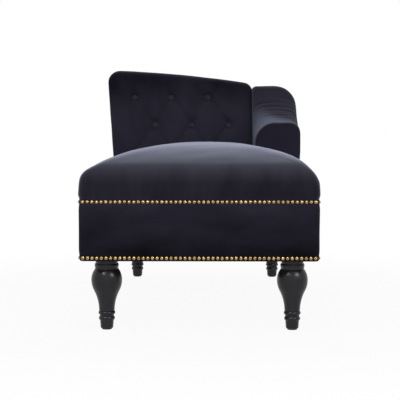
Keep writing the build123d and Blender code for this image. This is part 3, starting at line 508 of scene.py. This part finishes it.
def split_hem(obj):
    """Keeps the light on the pad's side from running round the hem."""
    attributes = obj.data.attributes
    sharp = attributes.get("sharp_edge") or attributes.new("sharp_edge", "BOOLEAN", "EDGE")
    sharp.data.foreach_set("value", hem_edges(obj))


def sharpen(obj, field, zone):
    """Puts the points of a zone back on the shape after the finer division has rounded its edge off."""
    def upright(x, s, z):
        return field(x, s, np.maximum(z, RAIL_TOP + UPRIGHT_ABOVE))

    points = read_points(obj)
    near = zone(points) & (np.abs(upright(*points.T)) < SHARPEN_REACH)
    points[near] = settle(points[near], upright)
    write_points(obj, points)


def make_pad(name, field, low, high, step, outside, held, pressure, cap, groove=None):
    """A pad from its shape, puffed up by a pressure and by no more than a cap in millimetres."""
    points, faces = net(field, low, high, step)
    points = settle(points, field)
    points = settle(relax(points, faces, RELAX_ROUNDS), field)
    points = tuck_hem(points, outside(points))
    obj = add_mesh(name, points, faces)
    crease_hem(obj)
    puff(obj, held(points), pressure, cap)
    subdivide(obj)
    if groove:
        sharpen(obj, field, groove)
    split_hem(obj)
    return obj


# Shader tools
def new_material(name):
    material = bpy.data.materials.new(name)
    material.use_nodes = True
    tree = material.node_tree
    return material, tree, tree.nodes["Principled BSDF"]


def add_noise(tree, scale, detail, stretch=(1, 1, 1), roughness=0.5):
    coords = tree.nodes.new("ShaderNodeTexCoord")
    mapping = tree.nodes.new("ShaderNodeMapping")
    mapping.inputs["Scale"].default_value = stretch
    noise = tree.nodes.new("ShaderNodeTexNoise")
    noise.inputs["Scale"].default_value = scale
    noise.inputs["Detail"].default_value = detail
    noise.inputs["Roughness"].default_value = roughness
    tree.links.new(coords.outputs["Object"], mapping.inputs["Vector"])
    tree.links.new(mapping.outputs["Vector"], noise.inputs["Vector"])
    return noise


def add_ramp(tree, source, low, high, start=0.3, end=0.7):
    ramp = tree.nodes.new("ShaderNodeValToRGB")
    ramp.color_ramp.elements[0].position = start
    ramp.color_ramp.elements[0].color = (*low, 1)
    ramp.color_ramp.elements[1].position = end
    ramp.color_ramp.elements[1].color = (*high, 1)
    tree.links.new(source, ramp.inputs["Fac"])
    return ramp


def add_range(tree, source, low, high, start=0.3, end=0.7, smooth=False):
    """Turns a value into a number between two limits, by default from the usual span of a noise."""
    span = tree.nodes.new("ShaderNodeMapRange")
    if smooth:
        span.interpolation_type = "SMOOTHSTEP"
    span.inputs["From Min"].default_value = start
    span.inputs["From Max"].default_value = end
    span.inputs["To Min"].default_value = low
    span.inputs["To Max"].default_value = high
    tree.links.new(source, span.inputs["Value"])
    return span


def add_math(tree, operation, first, second):
    node = tree.nodes.new("ShaderNodeMath")
    node.operation = operation
    tree.links.new(first, node.inputs[0])
    tree.links.new(second, node.inputs[1])
    return node


def add_vector_math(tree, operation):
    """A vector sum that starts from the place in the frame."""
    coords = tree.nodes.new("ShaderNodeTexCoord")
    node = tree.nodes.new("ShaderNodeVectorMath")
    node.operation = operation
    tree.links.new(coords.outputs["Object"], node.inputs[0])
    return node


def add_bump(tree, shader, source, strength, distance, below=None):
    bump = tree.nodes.new("ShaderNodeBump")
    bump.inputs["Strength"].default_value = strength
    bump.inputs["Distance"].default_value = distance
    tree.links.new(source, bump.inputs["Height"])
    if below is not None:
        tree.links.new(below.outputs["Normal"], bump.inputs["Normal"])
    tree.links.new(bump.outputs["Normal"], shader.inputs["Normal"])
    return bump


# Materials
TONE_RUN_SHARE = 0.75
SHEEN_TINT = (0.73, 0.77, 1.0, 1)
WAVE_LENGTH = 0.314


def velvet(name, dark, pale, stretch, way, dark_at, pale_at, sheen, mottle=0.55):
    """Short-pile velvet with a cool sheen, paler in brushed patches.

    Its colour also runs from dark to pale between two places, in metres, along a way through the frame; on
    the seat, back, arm and box that run is painted light, painted shade or a painted sheen."""
    material, tree, shader = new_material(name)
    brushed = add_noise(tree, scale=9, detail=3, stretch=stretch, roughness=0.6)
    patches = add_ramp(tree, brushed.outputs["Fac"], (0, 0, 0), (mottle, mottle, mottle), end=0.75)
    along = add_vector_math(tree, "DOT_PRODUCT")
    along.inputs[1].default_value = way
    # The run from dark to pale: painted shade or a painted sheen on most pads
    tone_run = add_range(tree, along.outputs["Value"], 0, TONE_RUN_SHARE, dark_at, pale_at, smooth=True)
    both = add_math(tree, "ADD", patches.outputs["Color"], tone_run.outputs["Result"])
    both.use_clamp = True
    colour = add_ramp(tree, both.outputs["Value"], dark, pale, start=0.0, end=1.0)
    tree.links.new(colour.outputs["Color"], shader.inputs["Base Color"])
    shader.inputs["Roughness"].default_value = 0.85
    shader.inputs["Specular IOR Level"].default_value = 0.02
    shader.inputs["Sheen Weight"].default_value = sheen
    shader.inputs["Sheen Roughness"].default_value = 0.5
    shader.inputs["Sheen Tint"].default_value = SHEEN_TINT
    nap = add_bump(tree, shader, brushed.outputs["Fac"], strength=0.25, distance=0.004)
    pile = add_noise(tree, scale=900, detail=2)
    add_bump(tree, shader, pile.outputs["Fac"], strength=0.15, distance=0.0006, below=nap)
    return material


def lacquer(name, low, high):
    material, tree, shader = new_material(name)
    grain = add_noise(tree, scale=30, detail=4, stretch=(1, 1, 0.12))
    colour = add_ramp(tree, grain.outputs["Fac"], low, high)
    tree.links.new(colour.outputs["Color"], shader.inputs["Base Color"])
    smudge = add_noise(tree, scale=45, detail=3)
    rough = add_range(tree, smudge.outputs["Fac"], low=0.26, high=0.33)
    tree.links.new(rough.outputs["Result"], shader.inputs["Roughness"])
    shader.inputs["Specular IOR Level"].default_value = 0.26
    fine = add_noise(tree, scale=260, detail=3, stretch=(1, 1, 0.06))
    add_bump(tree, shader, fine.outputs["Fac"], strength=0.02, distance=0.0004)
    return material


def metal(name, low, high, rough_low, rough_high, scale):
    material, tree, shader = new_material(name)
    patina = add_noise(tree, scale, detail=4)
    colour = add_ramp(tree, patina.outputs["Fac"], low, high)
    tree.links.new(colour.outputs["Color"], shader.inputs["Base Color"])
    shader.inputs["Metallic"].default_value = 1.0
    rough = add_range(tree, patina.outputs["Fac"], rough_low, rough_high)
    tree.links.new(rough.outputs["Result"], shader.inputs["Roughness"])
    fine = add_noise(tree, scale * 4, detail=2)
    add_bump(tree, shader, fine.outputs["Fac"], strength=0.05, distance=0.0004)
    return material


def timber(name, low, high, stretch):
    material, tree, shader = new_material(name)
    grain = add_noise(tree, scale=26, detail=6, stretch=stretch, roughness=0.62)
    colour = add_ramp(tree, grain.outputs["Fac"], low, high, start=0.35, end=0.66)
    tree.links.new(colour.outputs["Color"], shader.inputs["Base Color"])
    shader.inputs["Roughness"].default_value = 0.7
    add_bump(tree, shader, grain.outputs["Fac"], strength=0.15, distance=0.0008)
    return material


def matte(name, low, high, scale, bump):
    material, tree, shader = new_material(name)
    grain = add_noise(tree, scale, detail=4)
    colour = add_ramp(tree, grain.outputs["Fac"], low, high)
    tree.links.new(colour.outputs["Color"], shader.inputs["Base Color"])
    shader.inputs["Roughness"].default_value = 0.9
    add_bump(tree, shader, grain.outputs["Fac"], strength=bump, distance=0.001)
    return material


def woven(name, low, high, pitch):
    """A plain weave of crossing threads a pitch apart, in metres."""
    material, tree, shader = new_material(name)
    coords = tree.nodes.new("ShaderNodeTexCoord")
    waves = []
    for direction in ("X", "Y"):
        wave = tree.nodes.new("ShaderNodeTexWave")
        wave.bands_direction = direction
        wave.inputs["Scale"].default_value = WAVE_LENGTH / pitch
        tree.links.new(coords.outputs["Object"], wave.inputs["Vector"])
        waves.append(wave.outputs["Fac"])
    cross = add_math(tree, "MULTIPLY", *waves)
    colour = add_ramp(tree, cross.outputs["Value"], low, high, start=0.1, end=0.9)
    tree.links.new(colour.outputs["Color"], shader.inputs["Base Color"])
    shader.inputs["Roughness"].default_value = 0.95
    add_bump(tree, shader, cross.outputs["Value"], strength=0.2, distance=0.0005)
    return material


UP = (0, 0, 1)
ACROSS_ARM = (1, 1, 0)
# Seat velvet: paler on the top than on the front, a painted sheen on the crown
SEAT_VELVET = velvet(
    "seat_velvet", dark=(0.0030, 0.0018, 0.0044), pale=(0.0222, 0.0200, 0.0300), stretch=(1.6, 0.5, 0.5),
    way=UP, dark_at=0.415, pale_at=0.475, sheen=0.72,
)
# Back velvet: darker towards the top, painted shade
BACK_VELVET = velvet(
    "back_velvet", dark=(0.003, 0.0025, 0.0047), pale=(0.0235, 0.0215, 0.0345), stretch=(1, 1, 0.6),
    way=UP, dark_at=0.79, pale_at=0.62, sheen=0.15,
)
# Arm velvet: a pale band just behind the front edge and down the inner side, a painted sheen
ARM_VELVET = velvet(
    "arm_velvet", dark=(0.0155, 0.0138, 0.0225), pale=(0.078, 0.086, 0.120), stretch=(1, 1, 0.6),
    way=ACROSS_ARM, dark_at=0.632, pale_at=0.529, sheen=0.1, mottle=0.12,
)
FACING_VELVET = velvet(
    "facing_velvet", dark=(0.0145, 0.0128, 0.0225), pale=(0.0205, 0.0187, 0.031), stretch=(1, 1, 0.6),
    way=UP, dark_at=0.6, pale_at=0.45, sheen=0.15,
)
# Box velvet: darker towards the bottom, painted shade
BOX_VELVET = velvet(
    "box_velvet", dark=(0.002, 0.0018, 0.0026), pale=(0.0190, 0.0172, 0.0280), stretch=(0.6, 0.6, 1.4),
    way=UP, dark_at=0.22, pale_at=0.40, sheen=0.12,
)
# Buttons: darker towards the top, the same painted shade as the back
BUTTON_VELVET = velvet(
    "button_velvet", dark=(0.021, 0.019, 0.031), pale=(0.030, 0.0275, 0.043), stretch=(1, 1, 1),
    way=UP, dark_at=0.79, pale_at=0.62, sheen=0.25,
)
LACQUER = lacquer("black_lacquer", (0.006, 0.0055, 0.007), (0.013, 0.012, 0.015))
BRASS = metal(
    "antique_brass", (0.20, 0.12, 0.045), (0.50, 0.36, 0.165), rough_low=0.24, rough_high=0.38, scale=160
)
STEEL = metal(
    "bright_steel", (0.42, 0.42, 0.43), (0.62, 0.62, 0.63), rough_low=0.25, rough_high=0.42, scale=220
)
HARDWOOD = timber("beech", (0.36, 0.22, 0.11), (0.56, 0.38, 0.21), stretch=(1, 0.15, 1))
PLYWOOD = timber("plywood", (0.46, 0.31, 0.17), (0.66, 0.49, 0.29), stretch=(0.3, 1, 3))
LINING = woven("black_lining", (0.006, 0.006, 0.007), (0.028, 0.028, 0.03), pitch=0.0016)
FELT = matte("grey_felt", (0.2, 0.19, 0.17), (0.42, 0.4, 0.36), scale=320, bump=0.5)
CARD = matte("liner_card", (0.42, 0.33, 0.21), (0.55, 0.45, 0.31), scale=90, bump=0.15)
TWINE = matte("twine", (0.45, 0.38, 0.26), (0.68, 0.6, 0.44), scale=900, bump=0.5)
GLIDE = matte("glide", (0.012, 0.012, 0.012), (0.03, 0.03, 0.03), scale=300, bump=0.1)

# How near to a pad's side, end or joint its points count as showing there, or are held when it is puffed up
SIDE_RIM = 7
END_RIM = 8
GROOVE_REACH = 20
HELD_BELOW = 396
JOINT_HELD = 14
TOUCH_HELD = 6


# Seat pad
SEAT_ARM_RIM = 4
SEAT_WIDE_NAP = 0.9
SEAT_SMALL_NAP = 0.35


def seat_shows(points):
    x, s, _ = points.T
    by_arm = (x > 0) & (s > ARM_STATION - SEAT_ARM_RIM)
    return ((np.abs(x) > HALF_WIDTH - SIDE_RIM) & ~by_arm) | (s < END_RIM)


def seat_held(points):
    x, s, z = points.T
    at_back = s > back_front(z) - JOINT_HELD
    at_arm = (x > ARM_LEFT - JOINT_HELD) & (s > ARM_STATION - JOINT_HELD)
    return (z < HELD_BELOW) | at_back | at_arm


def seat_nap(points, normals):
    crown = ease((normals[:, 2] - 0.2) / 0.5)
    wide = SEAT_WIDE_NAP * ripple(*points.T, scale=260, seed=3)
    small = SEAT_SMALL_NAP * ripple(*points.T, scale=90, seed=5)
    return crown * wide + small


seat = make_pad(
    "seat_pad", seat_field, low=(-372, -28, 366), high=(372, 1206, 566), step=8.0,
    outside=seat_shows, held=seat_held, pressure=4.0, cap=1.5,
)
press(seat, seat_nap)
paint(seat, SEAT_VELVET)
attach(seat, "root")
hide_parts("seat_cover", "seat_foam")


# Back pad: folds run between the tufts, and down to a row of tufts that the seat would hide
HIDDEN_TUFTS = [(-266.5, 496), (-126.5, 496), (13.5, 496)]
FOLDS = [
    (row[upper], LOWER_TUFTS[lower])
    for row in (UPPER_TUFTS, HIDDEN_TUFTS)
    for upper, lower in ((0, 0), (1, 0), (1, 1), (2, 1), (2, 2))
]
TUFT_HELD = 15
TUFT_HELD_DEPTH = 40
FOLD_DEPTH = 11
FOLD_SHALLOWER = 5
FOLD_WIDTH = 11
BACK_NAP = 0.4


def segment_distance(x, z, a, b):
    """Distance from a line between two places, and how far along it the nearest point is."""
    ax, az = a
    dx, dz = b[0] - ax, b[1] - az
    t = np.clip(((x - ax) * dx + (z - az) * dz) / (dx * dx + dz * dz), 0, 1)
    return np.hypot(x - ax - t * dx, z - az - t * dz), t


def back_groove(points):
    x, s, _ = points.T
    return (s > BASE_LENGTH - GROOVE_REACH) & (x > BACK_RIGHT - GROOVE_REACH)


def back_shows(points):
    x, s, z = points.T
    return (x < back_left(z) + SIDE_RIM) | (s > BASE_LENGTH - END_RIM) | back_groove(points)


def back_held(points):
    x, s, z = points.T
    in_tuft = np.zeros(len(points), bool)
    for tx, tz in UPPER_TUFTS + LOWER_TUFTS:
        in_tuft |= (np.hypot(x - tx, z - tz) < TUFT_HELD) & (s < back_front(z) + TUFT_HELD_DEPTH)
    rim = (z > back_top(x) - JOINT_HELD) | (x < back_left(z) + JOINT_HELD) | (x > BACK_RIGHT - TOUCH_HELD)
    return (z < HELD_BELOW) | (s > BASE_LENGTH - END_RIM) | rim | in_tuft


def back_folds(points, normals):
    x, _, z = points.T
    facing = ease((-normals[:, 1] - 0.3) / 0.5)
    depth = np.zeros(len(points))
    for start, end in FOLDS:
        away, t = segment_distance(x, z, start, end)
        deep = FOLD_DEPTH - FOLD_SHALLOWER * np.sin(math.pi * t)
        depth = np.maximum(depth, deep * np.exp(-((away / FOLD_WIDTH) ** 2)))
    return -facing * depth + BACK_NAP * ripple(*points.T, scale=120, seed=11)


back = make_pad(
    "back_pad", back_field, low=(-400, 1112, 366), high=(206, 1442, 838), step=7.0,
    outside=back_shows, held=back_held, pressure=5.0, cap=2.5, groove=back_groove,
)
press(back, back_folds)
paint(back, BACK_VELVET)
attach(back, "root")
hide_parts("back_cover", "back_foam")


# Arm pad: creases run across its sweep, each with a station and a depth
ARM_CREASES = [(1012, 1.6), (1034, 2.4), (1053, 2.2), (1071, 2.8), (1092, 2.2), (1112, 2.4), (1133, 1.5)]
CREASE_WIDTH = 5.0
CREASE_LEAST = 0.1
CREASE_MEAN = 0.55
CREASE_SWING = 0.45
CREASE_SWING_LENGTH = 41
CREASE_SWING_SHIFT = 1.9
SWAY = 5
SWAY_MIDDLE = 200
SWAY_LENGTH = 34
SWAY_LOSS = 0.1
WOBBLE = 2.5
WOBBLE_LENGTH = 13
ARM_FRONT_HELD = 4
ARM_JOINT_STATION = 1130
ARM_NAP = 0.5


def arm_groove(points):
    x, s, _ = points.T
    return (s > BASE_LENGTH - GROOVE_REACH) & (x < ARM_LEFT + GROOVE_REACH)


def arm_shows(points):
    x, s, z = points.T
    return (x > arm_outer(z) - SIDE_RIM) | (s > BASE_LENGTH - END_RIM) | arm_groove(points)


def arm_held(points):
    x, s, z = points.T
    at_back = (x < ARM_LEFT + TOUCH_HELD) & (s > ARM_JOINT_STATION)
    ends = (s > BASE_LENGTH - END_RIM) | (s < ARM_STATION + ARM_FRONT_HELD)
    return (z < HELD_BELOW) | ends | at_back


def arm_creases(points, normals):
    x, s, _ = points.T
    up = ease((normals[:, 2] - 0.05) / 0.35)
    sway = SWAY * np.sin((x - SWAY_MIDDLE) / SWAY_LENGTH) + WOBBLE * np.sin(x / WOBBLE_LENGTH)
    depth = np.zeros(len(points))
    for i, (station, deep) in enumerate(ARM_CREASES):
        swing = CREASE_SWING * np.sin(x / CREASE_SWING_LENGTH + CREASE_SWING_SHIFT * i)
        share = np.clip(CREASE_MEAN + swing, CREASE_LEAST, 1)
        away = (s - station - sway * (1 - SWAY_LOSS * i)) / CREASE_WIDTH
        depth += deep * share * np.exp(-(away**2))
    return -up * depth + ARM_NAP * ripple(*points.T, scale=110, seed=17)


arm = make_pad(
    "arm_pad", arm_field, low=(160, 890, 367.5), high=(380, 1442, 782), step=6.5,
    outside=arm_shows, held=arm_held, pressure=4.0, cap=2.0, groove=arm_groove,
)
press(arm, arm_creases)
paint(arm, ARM_VELVET)
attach(arm, "root")
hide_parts("arm_cover", "arm_foam")


# Facing on the front of the arm
FACING_INSET = 3.5
FACING_TIGHTER = 3
FACING_EDGE = 3.5
FACING_PROUD = 1.2
FACING_FULLNESS = 2.2
FACING_FULL_AT = 60
FACING_DEPTH = 9
FACING_LIFT = 2
FACING_NAP = 0.3


def facing_field(x, s, z):
    inner = ARM_LEFT + FACING_INSET - x
    outer = x - arm_outer(z) + FACING_INSET
    top = z - ARM_FRONT_Z + FACING_INSET
    sides = round_max(inner, top, ARM_INNER_FRONT_RADIUS - FACING_TIGHTER)
    sides = round_max(sides, outer, ARM_OUTER_RADIUS - FACING_TIGHTER)
    fullness = FACING_FULLNESS * ease(-sides / FACING_FULL_AT)
    form = round_max(sides, ARM_STATION - FACING_PROUD - fullness - s, FACING_EDGE)
    form = np.maximum(form, s - ARM_STATION - FACING_DEPTH)
    return np.maximum(form, RAIL_TOP + FACING_LIFT - z)


points, faces = net(facing_field, low=(180, 896, 380), high=(360, 930, 620), step=3.4)
points = settle(relax(settle(points, facing_field), faces, rounds=1), facing_field)
facing = add_mesh("arm_front_panel", points, faces)
press(facing, lambda spots, _: FACING_NAP * ripple(*spots.T, scale=60, seed=23))
paint(facing, FACING_VELVET)
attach(facing, "root")
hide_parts("arm_facing")


# Box cover: one band of velvet round the box, drawn in under the nails, tucked in under the seat's hem
CORNER_STEPS = 8
BAND_STEP = 6.0
BAND_SWELL = 1.4
SWELL_ABOVE_NAILS = 26
SWELL_BELOW_NAILS = 22
TURNED_IN = 3.2
TURNED_HEIGHT = 5.5
NAIL_DENT = 0.5
NAIL_DENT_HEIGHT = 5
BAND_NAP = 0.5
LIP_DEPTH = 1.0
LINING_DEPTH = 2.8


def box_loop(step):
    """Points and outward directions round the box, from the right end of the foot face."""
    spots = []
    r = CORNER_RADIUS
    corners = [
        (HALF_WIDTH - r, r, -90), (HALF_WIDTH - r, BASE_LENGTH - r, 0),
        (r - HALF_WIDTH, BASE_LENGTH - r, 90), (r - HALF_WIDTH, r, 180),
    ]
    for i, (cx, cy, start) in enumerate(corners):
        for k in range(CORNER_STEPS + 1):
            angle = math.radians(start + 90 * k / CORNER_STEPS)
            ox, oy = math.cos(angle), math.sin(angle)
            spots.append((cx + r * ox, cy + r * oy, ox, oy))
        nx, ny, _ = corners[(i + 1) % 4]
        ax, ay = cx + r * ox, cy + r * oy
        bx, by = nx + r * ox, ny + r * oy
        number = int(math.hypot(bx - ax, by - ay) / step)
        for k in range(1, number):
            spots.append((ax + (bx - ax) * k / number, ay + (by - ay) * k / number, ox, oy))
    return np.array(spots)


def nail_dent(heights, nails):
    return NAIL_DENT * np.exp(-(((heights - nails) / NAIL_DENT_HEIGHT) ** 2))


loop = box_loop(BAND_STEP)
# Heights of the band's rows, closest together at its edges
rows = LEG_HEIGHT + np.concatenate([
    [0.0, 1.2, 2.6, 4.2], np.arange(6.5, 20, 2.2), np.linspace(22, 158, 26), np.arange(160, 174, 2.2),
    [174.0, 174.6],
])
swelling = ease((rows - LOWER_NAILS_Z) / SWELL_ABOVE_NAILS) * ease((UPPER_NAILS_Z - rows) / SWELL_BELOW_NAILS)
turned = TURNED_IN * np.clip(1 - (rows - LEG_HEIGHT) / TURNED_HEIGHT, 0, 1) ** 2
dent = nail_dent(rows, LOWER_NAILS_Z) + nail_dent(rows, UPPER_NAILS_Z)
x0, z0 = np.meshgrid(loop[:, 0], rows)
y0, _ = np.meshgrid(loop[:, 1], rows)
wavy = BAND_NAP * ripple(x0, y0, z0, scale=150, seed=29) * swelling[:, None]
proud = wavy + (BAND_SWELL * swelling - turned - dent)[:, None]
outer = np.stack([x0 + loop[:, 2] * proud, y0 + loop[:, 3] * proud, z0], axis=2)
tucked = [
    np.column_stack([loop[:, :2] - loop[:, 2:] * depth, np.full(len(loop), height)])
    for depth, height in (
        (LIP_DEPTH, rows[-1] + 0.3), (LIP_DEPTH, RAIL_TOP - 0.3),
        (LINING_DEPTH, RAIL_TOP - 0.3), (LINING_DEPTH, rows[0] + 0.4),
    )
]
points = np.concatenate([outer.reshape(-1, 3), *tucked])
number = np.arange(len(points)).reshape(-1, len(loop))
above = np.roll(number, -1, axis=0)
faces = np.stack([number, np.roll(number, -1, axis=1), np.roll(above, -1, axis=1), above], axis=2)
apron = add_mesh("box_velvet_band", points, faces.reshape(-1, 4))
paint(apron, BOX_VELVET)
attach(apron, "root")
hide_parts("foot_apron", "left_apron", "right_apron", "head_apron")

# CAD pieces that keep their own shape; the soft solids that the pads replace aren't painted
REPLACED_ENDINGS = ("_cover", "_foam", "_apron", "_facing")
NODE_MATERIALS = {
    "tuft_buttons": BUTTON_VELVET,
    "dust_cover": LINING,
    "insulator_pad": FELT,
    "back_liner": CARD,
    "tuft_twines": TWINE,
    "foot_glides": GLIDE,
}
for material, names in (
    (BRASS, ("upper_nails", "lower_nails")),
    (STEEL, ("leg_bolts", "leg_inserts", "seat_springs", "spring_clips", "clip_nails")),
    (PLYWOOD, (
        "sill_plate", "back_left_panel", "back_right_panel", "back_board",
        "arm_inner_board", "arm_outer_board", "arm_top_board", "arm_rear_panel",
    )),
):
    NODE_MATERIALS.update(dict.fromkeys(names, material))
for node, obj in NODES.items():
    if node.endswith("_leg"):
        paint(obj, LACQUER)
    elif node.endswith("_screws"):
        paint(obj, STEEL)
    elif node in NODE_MATERIALS:
        paint(obj, NODE_MATERIALS[node])
    elif not node.endswith(REPLACED_ENDINGS):
        paint(obj, HARDWOOD)

# Floor and backdrop
FLOOR_REACH = 9
FLOOR_GREY = (0.55, 0.55, 0.55, 1)
FLOOR_WHITE_NEAR = 0.94
FADE_FROM = 0.7
FADE_TO = 1.9
WORLD_LIGHT = 0.12

floor_mesh = bpy.data.meshes.new("floor")
floor_mesh.from_pydata([
    (-FLOOR_REACH, -FLOOR_REACH, 0), (FLOOR_REACH, -FLOOR_REACH, 0),
    (FLOOR_REACH, FLOOR_REACH, 0), (-FLOOR_REACH, FLOOR_REACH, 0),
], [], [(0, 1, 2, 3)])
floor = bpy.data.objects.new("floor", floor_mesh)
bpy.context.scene.collection.objects.link(floor)


def white_for_eye(tree, plain, white, output, share=None):
    """Shows white, or a share of it, to the camera and in mirrors, and the plain shader to the light."""
    rays = tree.nodes.new("ShaderNodeLightPath")
    seen = add_math(tree, "MAXIMUM", rays.outputs["Is Camera Ray"], rays.outputs["Is Glossy Ray"])
    seen = add_math(tree, "MAXIMUM", seen.outputs["Value"], rays.outputs["Is Transmission Ray"])
    if share is not None:
        seen = add_math(tree, "MULTIPLY", seen.outputs["Value"], share)
    mix = tree.nodes.new("ShaderNodeMixShader")
    tree.links.new(seen.outputs["Value"], mix.inputs["Fac"])
    tree.links.new(plain, mix.inputs[1])
    tree.links.new(white, mix.inputs[2])
    tree.links.new(mix.outputs["Shader"], output)


# The floor keeps a little of the object's shadow near the middle, and fades to white further out
floor_material, tree, shader = new_material("pale_floor")
shader.inputs["Base Color"].default_value = FLOOR_GREY
shader.inputs["Roughness"].default_value = 0.9
glow = tree.nodes.new("ShaderNodeEmission")
glow.inputs["Strength"].default_value = 1.0
away = add_vector_math(tree, "LENGTH")
fade = add_range(tree, away.outputs["Value"], FLOOR_WHITE_NEAR, 1.0, FADE_FROM, FADE_TO, smooth=True)
white_for_eye(
    tree, shader.outputs["BSDF"], glow.outputs["Emission"], tree.nodes["Material Output"].inputs["Surface"],
    fade.outputs["Result"],
)
floor.data.materials.append(floor_material)

world = bpy.data.worlds.new("studio")
bpy.context.scene.world = world
world.use_nodes = True
tree = world.node_tree
soft = tree.nodes["Background"]
soft.inputs["Color"].default_value = (1, 1, 1, 1)
soft.inputs["Strength"].default_value = WORLD_LIGHT
white = tree.nodes.new("ShaderNodeBackground")
white.inputs["Color"].default_value = (1, 1, 1, 1)
white.inputs["Strength"].default_value = 1.0
white_for_eye(
    tree, soft.outputs["Background"], white.outputs["Background"],
    tree.nodes["World Output"].inputs["Surface"],
)


# Lamps: two small boxes that only glint on lacquer and brass, and three wide soft ones
def add_softbox(name, place, target, width, height, power):
    light = bpy.data.lights.new(name, "AREA")
    light.shape = "RECTANGLE"
    light.size = width
    light.size_y = height
    light.energy = power
    obj = bpy.data.objects.new(name, light)
    obj.location = place
    obj.rotation_euler = (Vector(target) - Vector(place)).to_track_quat("-Z", "Y").to_euler()
    bpy.context.scene.collection.objects.link(obj)
    return obj


for name, place in (("left_box", (-1.02, -2.27, 1.98)), ("right_box", (1.43, -2.05, 1.43))):
    glint = add_softbox(name, place, target=(0, -0.5, 0.35), width=0.4, height=0.4, power=24)
    glint.visible_diffuse = False
low_box = add_softbox(
    "low_box", (0.1, -4.5, 1.2), target=(0, -0.2, 0.4), width=5.4, height=2.3, power=134
)
low_box.visible_glossy = False
add_softbox("foot_box", (0, -1.3, 2.6), target=(0, -0.4, 0.4), width=1.4, height=1.4, power=23)
add_softbox("top_box", (0, 1.6, 2.5), target=(0, -0.4, 0.5), width=2.0, height=1.6, power=43)

# Camera, placed in millimetres from the middle of the box's foot face
CAMERA_RIGHT = 54.5
CAMERA_AWAY = 3267
CAMERA_HEIGHT = 555
CAMERA_DOWN = 3.10
CAMERA_LEFTWARD = 0.907

camera_data = bpy.data.cameras.new("camera")
camera_data.sensor_width = 36
camera_data.lens = 104.6
camera_data.clip_end = 50
camera = bpy.data.objects.new("camera", camera_data)
camera.location = to_frame((CAMERA_RIGHT, -CAMERA_AWAY, CAMERA_HEIGHT))
camera.rotation_euler = (math.radians(90 - CAMERA_DOWN), 0, math.radians(CAMERA_LEFTWARD))
bpy.context.scene.collection.objects.link(camera)
bpy.context.scene.camera = camera
bpy.context.scene.view_settings.view_transform = "Standard"
